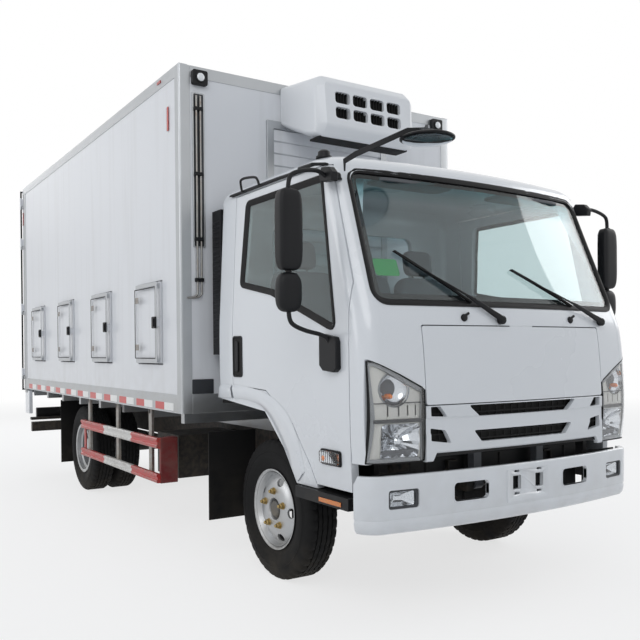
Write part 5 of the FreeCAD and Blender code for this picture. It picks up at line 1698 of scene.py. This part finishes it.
def addInterior():
    # Instrument hood, sun visors, hanging mirror and a sticker on the screen.
    bm = bmesh.new()
    outline = [(-2.83, 1.375), (-2.62, 1.375), (-2.56, 1.4), (-2.58, 1.44), (-2.68, 1.462), (-2.8, 1.43)]
    prism(bm, outline, "x", 0.2, 0.62)
    piece("instrument_hood", bm, "darkTrim", "cab", bevel=0.012, segments=3)
    for k, x in enumerate((-0.4, 0.42)):
        bm = bmesh.new()
        puffed(bm, (x - 0.24, -2.655, 2.085), (x + 0.24, -2.5, 2.107), 6.0, 12, False)
        piece(f"sun_visor_{k + 1}", bm, "cabTrim", "cab", angle=70)
    glassAt = onGlass(Vector((-0.7, 1.97)), -0.05)
    tube("round_mirror_stalk", [[(-0.735, glassAt.y + 0.12, 2.1), (-0.73, glassAt.y + 0.09, 2.0),
                                 (-0.735, glassAt.y + 0.09, 1.93)]], 0.005, "blackPlastic", "cab")
    bm = bmesh.new()
    turned(bm, [(0.0, 0.01), (0.002, 0.05), (0.008, 0.062), (0.016, 0.062), (0.026, 0.04), (0.03, 0.012)],
           (-0.735, glassAt.y + 0.075, 1.87), "y", 40)
    piece("round_mirror", bm, "cabTrim", "cab", angle=60)
    bm = bmesh.new()
    corners = roundRect(-0.792, -0.664, 1.603, 1.684, 0.012)
    near = [bm.verts.new(onGlass(Vector(p), -0.0072)) for p in corners]
    far = [bm.verts.new(onGlass(Vector(p), -0.0078)) for p in corners]
    bm.faces.new(near)
    bm.faces.new(list(reversed(far)))
    for i in range(len(near)):
        j = (i + 1) % len(near)
        bm.faces.new((near[i], near[j], far[j], far[i]))
    piece("screen_sticker", bm, "stickerGreen", "cab")


# ---------- wheels, guards and the chassis sides

tyreSizes = {"radius": 0.385, "half": 0.1, "bead": 0.204, "blocks": 84}


def tyreMesh(bm, centreX, centreY, centreZ):
    s = tyreSizes
    r, h, bead = s["radius"], s["half"], s["bead"]
    side = [(h - 0.018, bead), (h - 0.019, bead + 0.022), (h - 0.01, bead + 0.042), (h - 0.004, bead + 0.058),
            (h - 0.0035, bead + 0.062), (h - 0.001, bead + 0.066), (h, bead + 0.098), (h - 0.001, bead + 0.108),
            (h + 0.001, bead + 0.111), (h - 0.002, bead + 0.116), (h - 0.005, r - 0.045), (h - 0.009, r - 0.032),
            (h - 0.014, r - 0.018), (h - 0.022, r - 0.007), (h - 0.03, r - 0.002)]
    tread = []
    for lo, hi in ((0.066, 0.047), (0.041, 0.019), (0.013, -0.013), (-0.019, -0.041), (-0.047, -0.066)):
        tread += [(lo, r - 0.009), (lo - 0.0008, r), (hi + 0.0008, r), (hi, r - 0.009)]
    inner = [(-(h - 0.04), r - 0.022), (-(h - 0.024), r - 0.05), (-(h - 0.016), bead + 0.09),
             (-(h - 0.02), bead + 0.05), (-(h - 0.034), bead + 0.02), (-(h - 0.032), bead)]
    profile = side + tread[1:-1] + [(-a, b) for a, b in reversed(side)] + inner + [(-a, b) for a, b in
                                                                                  reversed(inner)]
    steps = s["blocks"] * 2
    rows = []
    for along, radius in profile:
        row = []
        for i in range(steps):
            a = 2 * math.pi * (i + (0.35 if along > 0 else 0)) / steps
            cut = 0.0
            if abs(along) > 0.045 and radius > r - 0.02 and i % 4 == 0:
                cut = 0.007
            elif abs(along) < 0.045 and radius > r - 0.002 and i % 4 == 2:
                cut = 0.004
            rr = radius - cut
            row.append(bm.verts.new((centreX + along, centreY + rr * math.cos(a), centreZ + rr * math.sin(a))))
        rows.append(row)
    for a, b in zip(rows, rows[1:] + rows[:1]):
        for i in range(steps):
            j = (i + 1) % steps
            bm.faces.new((a[i], b[i], b[j], a[j]))


rimSizes = {"holes": 5, "holeAt": 0.158, "hole": (0.021, 0.028), "nuts": 5, "nutAt": 0.0995}


def addWheels():
    s = rimSizes
    for side, word in ((-1, "right"), (1, "left")):
        centre = (side * 0.752, axleFront, 0.385)
        bm = bmesh.new()
        tyreMesh(bm, *centre)
        tyre = piece("front_tread_" + word, bm, "tyreRubber", "front_wheel_" + word, angle=35)
        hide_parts("front_tyre_" + word)
        outer = [(-0.088, 0.2217), (-0.084, 0.206), (-0.04, 0.2), (0.02, 0.196), (0.05, 0.2), (0.076, 0.206),
                 (0.088, 0.2217)]
        front = [(0.0895, 0.2217), (0.0895, 0.215), (0.082, 0.206), (0.066, 0.2), (0.05, 0.19), (0.052, 0.183),
                 (0.064, 0.172), (0.074, 0.156), (0.081, 0.138), (0.084, 0.124), (0.085, 0.07), (0.083, 0.061),
                 (0.07, 0.055), (0.055, 0.052)]
        back = [(0.045, 0.052), (0.07, 0.066), (0.072, 0.12), (0.067, 0.145), (0.056, 0.163), (0.04, 0.18),
                (0.02, 0.187), (-0.04, 0.192), (-0.08, 0.2), (-0.0895, 0.214), (-0.0895, 0.2217)]
        bm = bmesh.new()
        turned(bm, [(side * a, b) for a, b in front + back + outer[1:-1]], centre, "x", 96, closed=True)
        rim = piece("front_wheel_face_" + word, bm, "wheelSilver", "front_wheel_" + word, angle=40)
        bm = bmesh.new()
        for k in range(s["holes"]):
            a = 2 * math.pi * (k + 0.5) / s["holes"]
            cy, cz = centre[1] + s["holeAt"] * math.cos(a), centre[2] + s["holeAt"] * math.sin(a)
            shape = []
            for i in range(24):
                b = 2 * math.pi * i / 24
                radial, across = s["hole"][0] * math.cos(b), s["hole"][1] * math.sin(b)
                shape.append((cy + radial * math.cos(a) - across * math.sin(a),
                              cz + radial * math.sin(a) + across * math.cos(a)))
            lows, highs = sorted((centre[0] + side * 0.03, centre[0] + side * 0.1))
            prism(bm, shape, "x", lows, highs)
        carved(rim, piece("rim_cutter", bm, "darkGap", "front_wheel_" + word))
        rim.data.shade_smooth()
        rim.data.set_sharp_from_angle(angle=math.radians(35))
        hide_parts("front_rim_" + word)
        bm = bmesh.new()
        for k in range(s["nuts"]):
            a = 2 * math.pi * k / s["nuts"] + 0.3
            y, z = centre[1] + s["nutAt"] * math.cos(a), centre[2] + s["nutAt"] * math.sin(a)
            turned(bm, [(side * 0.08, 0.02), (side * 0.088, 0.02)], (centre[0], y, z), "x", 20)
            turned(bm, [(side * 0.087, 0.0165), (side * 0.102, 0.0165), (side * 0.105, 0.012)], (centre[0], y, z),
                   "x", 6)
            turned(bm, [(side * 0.1, 0.009), (side * 0.115, 0.009), (side * 0.117, 0.007)], (centre[0], y, z),
                   "x", 14)
        piece("front_nuts_" + word, bm, "brassNut", "front_wheel_" + word, bevel=0.001)
        bm = bmesh.new()
        turned(bm, [(side * 0.03, 0.054), (side * 0.062, 0.0535), (side * 0.066, 0.046), (side * 0.08, 0.043),
                    (side * 0.086, 0.036), (side * 0.087, 0.01)], centre, "x", 40)
        piece("front_hub_cap_" + word, bm, "castMetal", "front_wheel_" + word)
        bm = bmesh.new()
        for x in (0.5975, 0.8275):
            tyreMesh(bm, side * x, 1.4375, 0.385)
        twin = piece("rear_tread_" + word, bm, "tyreRubber", "rear_wheels_" + word, angle=35)
        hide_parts("rear_tyres_" + word)
        bm = bmesh.new()
        for k in range(6):
            a = 2 * math.pi * k / 6
            y, z = 1.4375 + 0.1 * math.cos(a), 0.385 + 0.1 * math.sin(a)
            hit = landOn(("rear_rims_" + word,), (side * 1.3, y, z), Vector((-side, 0, 0)))
            if hit:
                turned(bm, [(0.0, 0.017), (side * 0.016, 0.017), (side * 0.018, 0.012)], (hit.x, y, z), "x", 6)
                turned(bm, [(side * 0.014, 0.009), (side * 0.028, 0.008)], (hit.x, y, z), "x", 12)
        if bm.verts:
            piece("rear_nuts_" + word, bm, "brassNut", "rear_wheels_" + word, bevel=0.001)


guardSizes = {"face": 1.09, "rails": ((0.395, 0.456), (0.623, 0.692)), "deep": 0.028,
              "bands": ((-0.8205, -0.3255, "tapeRed"), (-0.3255, 0.2945, "tapeWhite"), (0.2945, 0.9025, "tapeRed"))}


def addSideGuards():
    s = guardSizes
    for side, word in ((-1, "right"), (1, "left")):
        bm = bmesh.new()
        for low, high in s["rails"]:
            tall = high - low
            profile = [(s["face"] - 0.006, low), (s["face"], low + 0.006), (s["face"], low + tall * 0.3),
                       (s["face"] - 0.007, low + tall * 0.38), (s["face"] - 0.007, low + tall * 0.62),
                       (s["face"], low + tall * 0.7), (s["face"], high - 0.006), (s["face"] - 0.006, high),
                       (s["face"] - s["deep"], high), (s["face"] - s["deep"], low)]
            for k, (y0, y1, _) in enumerate(s["bands"]):
                rows = [[bm.verts.new((side * x, y, z)) for x, z in profile] for y in (y0, y1)]
                for i in range(len(profile)):
                    j = (i + 1) % len(profile)
                    bm.faces.new((rows[0][i], rows[0][j], rows[1][j], rows[1][i])).material_index = k % 2
                for row in rows:
                    bm.faces.new(row).material_index = k % 2
        rails = piece("guard_rails_" + word, bm, ["guardRed", "guardWhite"], "chassis", angle=30)
        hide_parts("side_guards")
        bm = bmesh.new()
        lows, highs = sorted((side * 1.04, side * 1.062))
        for y, thick in ((-0.66, 0.05), (0.02, 0.05), (0.73, 0.05)):
            box(bm, (lows, y, 0.395), (highs, y + thick, 0.879))
            box(bm, (min(lows, side * 1.02), y + 0.01, 0.84), (highs, y + thick - 0.01, 0.879))
        piece("guard_posts_" + word, bm, "plainSteel", "chassis", bevel=0.003)
        bm = bmesh.new()
        lows, highs = sorted((side * 1.05, side * 1.062))
        box(bm, (lows, 0.86, 0.395), (highs, 0.9, 0.692))
        piece("guard_rear_post_" + word, bm, "guardRed", "chassis", bevel=0.003)
        # inward-turned end plate of the guard, in the guard red darkened as painted shade
        bm = bmesh.new()
        outline = [(side * x, y) for x, y in ((1.062, -0.8205), (1.062, -0.796), (0.945, -0.735), (0.938, -0.75),
                                              (0.938, -0.8205))]
        prism(bm, outline, "z", 0.39, 0.694)
        piece("guard_end_box_" + word, bm, "maroonPaint", "chassis", bevel=0.006, segments=3)


def addRearFittings():
    s = {"rod": 0.013, "rods": (0.2, 0.86), "keeper": 0.05}
    low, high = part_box("rear_door_right")
    rear, bottom, top = high.y, low.z, high.z
    for side, word in ((-1, "right"), (1, "left")):
        body = "rear_door_" + word
        bm = bmesh.new()
        for x in s["rods"]:
            turned(bm, [(bottom + 0.03, s["rod"]), (top - 0.03, s["rod"])], (side * x, rear + 0.014, 0), "z", 16)
        piece(body + "_lock_rods", bm, "plainSteel", body)
        bm = bmesh.new()
        for x in s["rods"]:
            for z in (bottom + 0.05, 1.45, 2.3, top - 0.09):
                box(bm, (side * x - 0.034, rear - 0.001, z), (side * x + 0.034, rear + 0.01, z + 0.045))
                box(bm, (side * x - 0.018, rear + 0.004, z + 0.008), (side * x + 0.018, rear + 0.029, z + 0.037))
        piece(body + "_rod_keepers", bm, "plainSteel", body, bevel=0.002)
        bm = bmesh.new()
        for x in s["rods"]:
            a, b = sorted((side * x, side * (x - 0.26 if x > 0.5 else x + 0.26)))
            box(bm, (a, rear + 0.02, 1.3), (b, rear + 0.03, 1.328))
            box(bm, (side * x - 0.02, rear + 0.006, 1.29), (side * x + 0.02, rear + 0.03, 1.338))
        piece(body + "_handles", bm, "plainSteel", body, bevel=0.003)
        bm = bmesh.new()
        for z in (1.01, 1.7, 2.4, 2.83):
            a, b = sorted((side * 1.112, side * 0.9))
            box(bm, (a, rear - 0.001, z), (b, rear + 0.007, z + 0.05))
            for x in (0.93, 0.98, 1.04):
                dome(bm, (side * x, rear + 0.007, z + 0.025), (0, 1, 0), 0.009)
        piece(body + "_hinge_straps", bm, "plainSteel", body, bevel=0.001)
        bm = bmesh.new()
        frameRing(bm, [(side * 0.006, bottom + 0.004), (side * 1.112, bottom + 0.004), (side * 1.112, top - 0.004),
                       (side * 0.006, top - 0.004)], [(side * 0.022, bottom + 0.02), (side * 1.096, bottom + 0.02),
                                                      (side * 1.096, top - 0.02), (side * 0.022, top - 0.02)],
                  "y", rear - 0.001, rear + 0.003)
        piece(body + "_seal", bm, "gasket", body)
        # lamp cluster on the rear bar
        bm = bmesh.new()
        a, b = sorted((side * 0.62, side * 0.98))
        box(bm, (a, 2.92, 0.56), (b, 2.972, 0.67))
        piece("tail_lamp_case_" + word, bm, "blackPlastic", "chassis", bevel=0.006)
        for k, finish in enumerate(("redLens", "amber", "bulbWhite")):
            bm = bmesh.new()
            a, b = sorted((side * (0.632 + 0.115 * k), side * (0.738 + 0.115 * k)))
            prism(bm, roundRect(a, b, 0.572, 0.658, 0.01), "y", 2.968, 2.982)
            piece(f"tail_lens_{k + 1}_{word}", bm, finish, "chassis", bevel=0.004, segments=3)
        bm = bmesh.new()
        lows, highs = sorted((side * 1.086, side * 1.05))
        box(bm, (lows, 2.8, 0.62), (highs, 2.968, 0.862))
        piece("corner_drop_" + word, bm, "whitePaint", "chassis", bevel=0.004)
        bm = bmesh.new()
        a, b = sorted((side * 0.6, side * 1.05))
        box(bm, (a, 2.86, 0.545), (b, 2.922, 0.575))
        box(bm, (min(b, max(a, side * 0.62)) - 0.02, 2.86, 0.5), (min(b, max(a, side * 0.62)) + 0.02, 2.92, 0.56))
        piece("lamp_bracket_" + word, bm, "chassisBlack", "chassis", bevel=0.003)
    bm = bmesh.new()
    prism(bm, roundRect(-0.22, 0.22, 0.545, 0.685, 0.006), "y", 2.955, 2.963)
    piece("rear_plate", bm, "plateGrey", "chassis", bevel=0.001)
    bm = bmesh.new()
    box(bm, (-0.2, 2.89, 0.52), (-0.17, 2.957, 0.69))
    box(bm, (0.17, 2.89, 0.52), (0.2, 2.957, 0.69))
    piece("rear_plate_bracket", bm, "chassisBlack", "chassis", bevel=0.002)
    print("rear done")


makeFinish("lampGrey", rgb(128, 130, 132), 0.3, coat=0.3, mottle=(12, 0.05, 0.05))
makeFinish("lampSilver", rgb(196, 194, 188), 0.34, metallic=0.25, mottle=(16, 0.05, 0.06))
makeFinish("guardRed", rgb(186, 34, 34), 0.42, coat=0.2, mottle=(7, 0.1, 0.08), wear=(rgb(120, 104, 96), 0.5),
           dust=(0.25, 0.95, 0.3), grain=(140, 0.0003, 0.8))
makeFinish("guardWhite", rgb(214, 213, 210), 0.42, coat=0.2, mottle=(7, 0.06, 0.08), wear=(rgb(120, 104, 96), 0.5),
           dust=(0.25, 0.95, 0.35), grain=(140, 0.0003, 0.8))
addHeadlamps()
addDoorMirrors()
addKerbMirror()
addRoofFittings()
addIntake()
print("cab fittings done")
addSeats()
addInterior()
print("cab inside done")
addWheels()
addSideGuards()
addRearFittings()
print("wheels and guards done")


# ---------- camera, floor and light

cameraPlace = {"place": (-2.9495, -5.5848, 1.2595), "heading": 0.5696, "pitch": -0.00766, "roll": -0.00818,
               "lens": 42.953, "shift": (0.01834, 0.05722)}


def addCamera():
    s = cameraPlace
    turn, tip, roll = s["heading"], s["pitch"], s["roll"]
    forward = Vector((math.sin(turn) * math.cos(tip), math.cos(turn) * math.cos(tip), math.sin(tip)))
    right = Vector((math.cos(turn), -math.sin(turn), 0))
    up = right.cross(forward)
    right, up = (right * math.cos(roll) + up * math.sin(roll), up * math.cos(roll) - right * math.sin(roll))
    data = bpy.data.cameras.new("camera")
    data.sensor_width, data.lens = 36, s["lens"]
    data.shift_x, data.shift_y = s["shift"]
    data.clip_start, data.clip_end = 0.05, 200
    camera = bpy.data.objects.new("camera", data)
    camera.matrix_world = Matrix.Translation(s["place"]) @ Matrix((right, up, -forward)).transposed().to_4x4()
    bpy.context.scene.collection.objects.link(camera)
    bpy.context.scene.camera = camera


stageSizes = {"floorHalf": 60, "whiteShare": 0.72, "fade": (7.0, 16.0)}


def addFloor():
    s = stageSizes
    half = s["floorHalf"]
    bm = bmesh.new()
    corners = [bm.verts.new((x * half, y * half, -0.0005)) for x, y in ((-1, -1), (1, -1), (1, 1), (-1, 1))]
    bm.faces.new(corners)
    mesh = bpy.data.meshes.new("floor")
    bm.to_mesh(mesh)
    bm.free()
    floor = bpy.data.objects.new("floor", mesh)
    bpy.context.scene.collection.objects.link(floor)
    mat = bpy.data.materials.new("paleFloor")
    mat.use_nodes = True
    tree = mat.node_tree
    shader = tree.nodes["Principled BSDF"]
    shader.inputs["Roughness"].default_value = 0.9
    shader.inputs["Specular IOR Level"].default_value = 0.1
    cloud = objectNoise(tree, 0.6)
    tree.links.new(mixColour(tree, cloud, rgb(238, 238, 238), rgb(242, 242, 242)), shader.inputs["Base Color"])
    white = addNode(tree, "ShaderNodeEmission", {"Color": (1, 1, 1, 1), "Strength": 1.0})
    place = addNode(tree, "ShaderNodeTexCoord").outputs["Object"]
    away = addNode(tree, "ShaderNodeVectorMath", {0: place}, operation="LENGTH").outputs["Value"]
    fade = mapRange(tree, away, s["fade"][0], s["fade"][1], s["whiteShare"], 1.0)
    rays = addNode(tree, "ShaderNodeLightPath").outputs
    seen = maths(tree, "MAXIMUM", maths(tree, "MAXIMUM", rays["Is Camera Ray"], rays["Is Glossy Ray"]),
                 rays["Is Transmission Ray"])
    share = maths(tree, "MULTIPLY", fade, seen)
    mixed = addNode(tree, "ShaderNodeMixShader", {0: share, 1: shader.outputs[0], 2: white.outputs[0]})
    tree.links.new(mixed.outputs[0], tree.nodes["Material Output"].inputs["Surface"])
    mesh.materials.append(mat)


lightSizes = {"sky": 0.5, "key": ((-5.5, -7.5, 6.5), 5.0, 150), "side": ((-8.0, 1.0, 4.0), 5.0, 110),
              "far": ((7.5, -3.0, 5.0), 5.0, 150), "back": ((0.0, 8.5, 5.0), 5.0, 150)}


def addLight():
    s = lightSizes
    world = bpy.data.worlds.new("sky")
    bpy.context.scene.world = world
    world.use_nodes = True
    tree = world.node_tree
    tree.nodes.clear()
    place = addNode(tree, "ShaderNodeTexCoord").outputs["Generated"]
    height = addNode(tree, "ShaderNodeSeparateXYZ", {"Vector": place}).outputs["Z"]
    sky = mixColour(tree, mapRange(tree, height, -0.2, 0.8), rgb(226, 228, 230), rgb(240, 247, 255))
    soft = addNode(tree, "ShaderNodeBackground", {"Color": sky, "Strength": s["sky"]})
    white = addNode(tree, "ShaderNodeBackground", {"Color": (1, 1, 1, 1), "Strength": 1.0})
    rays = addNode(tree, "ShaderNodeLightPath").outputs
    seen = maths(tree, "MAXIMUM", maths(tree, "MAXIMUM", rays["Is Camera Ray"], rays["Is Glossy Ray"]),
                 rays["Is Transmission Ray"])
    mixed = addNode(tree, "ShaderNodeMixShader", {0: seen, 1: soft.outputs[0], 2: white.outputs[0]})
    out = addNode(tree, "ShaderNodeOutputWorld")
    tree.links.new(mixed.outputs[0], out.inputs["Surface"])
    for name in ("key", "side", "far", "back"):
        where, width, power = s[name]
        data = bpy.data.lights.new(name, "AREA")
        data.shape, data.size, data.energy = "DISK", width, power
        lamp = bpy.data.objects.new(name, data)
        lamp.location = where
        lamp.rotation_mode = "QUATERNION"
        lamp.rotation_quaternion = (Vector(where) - Vector((0, 0, 1.3))).to_track_quat("Z", "Y")
        bpy.context.scene.collection.objects.link(lamp)


addCamera()
addFloor()
addLight()
bpy.context.scene.view_settings.view_transform = "Standard"
print("stage done")
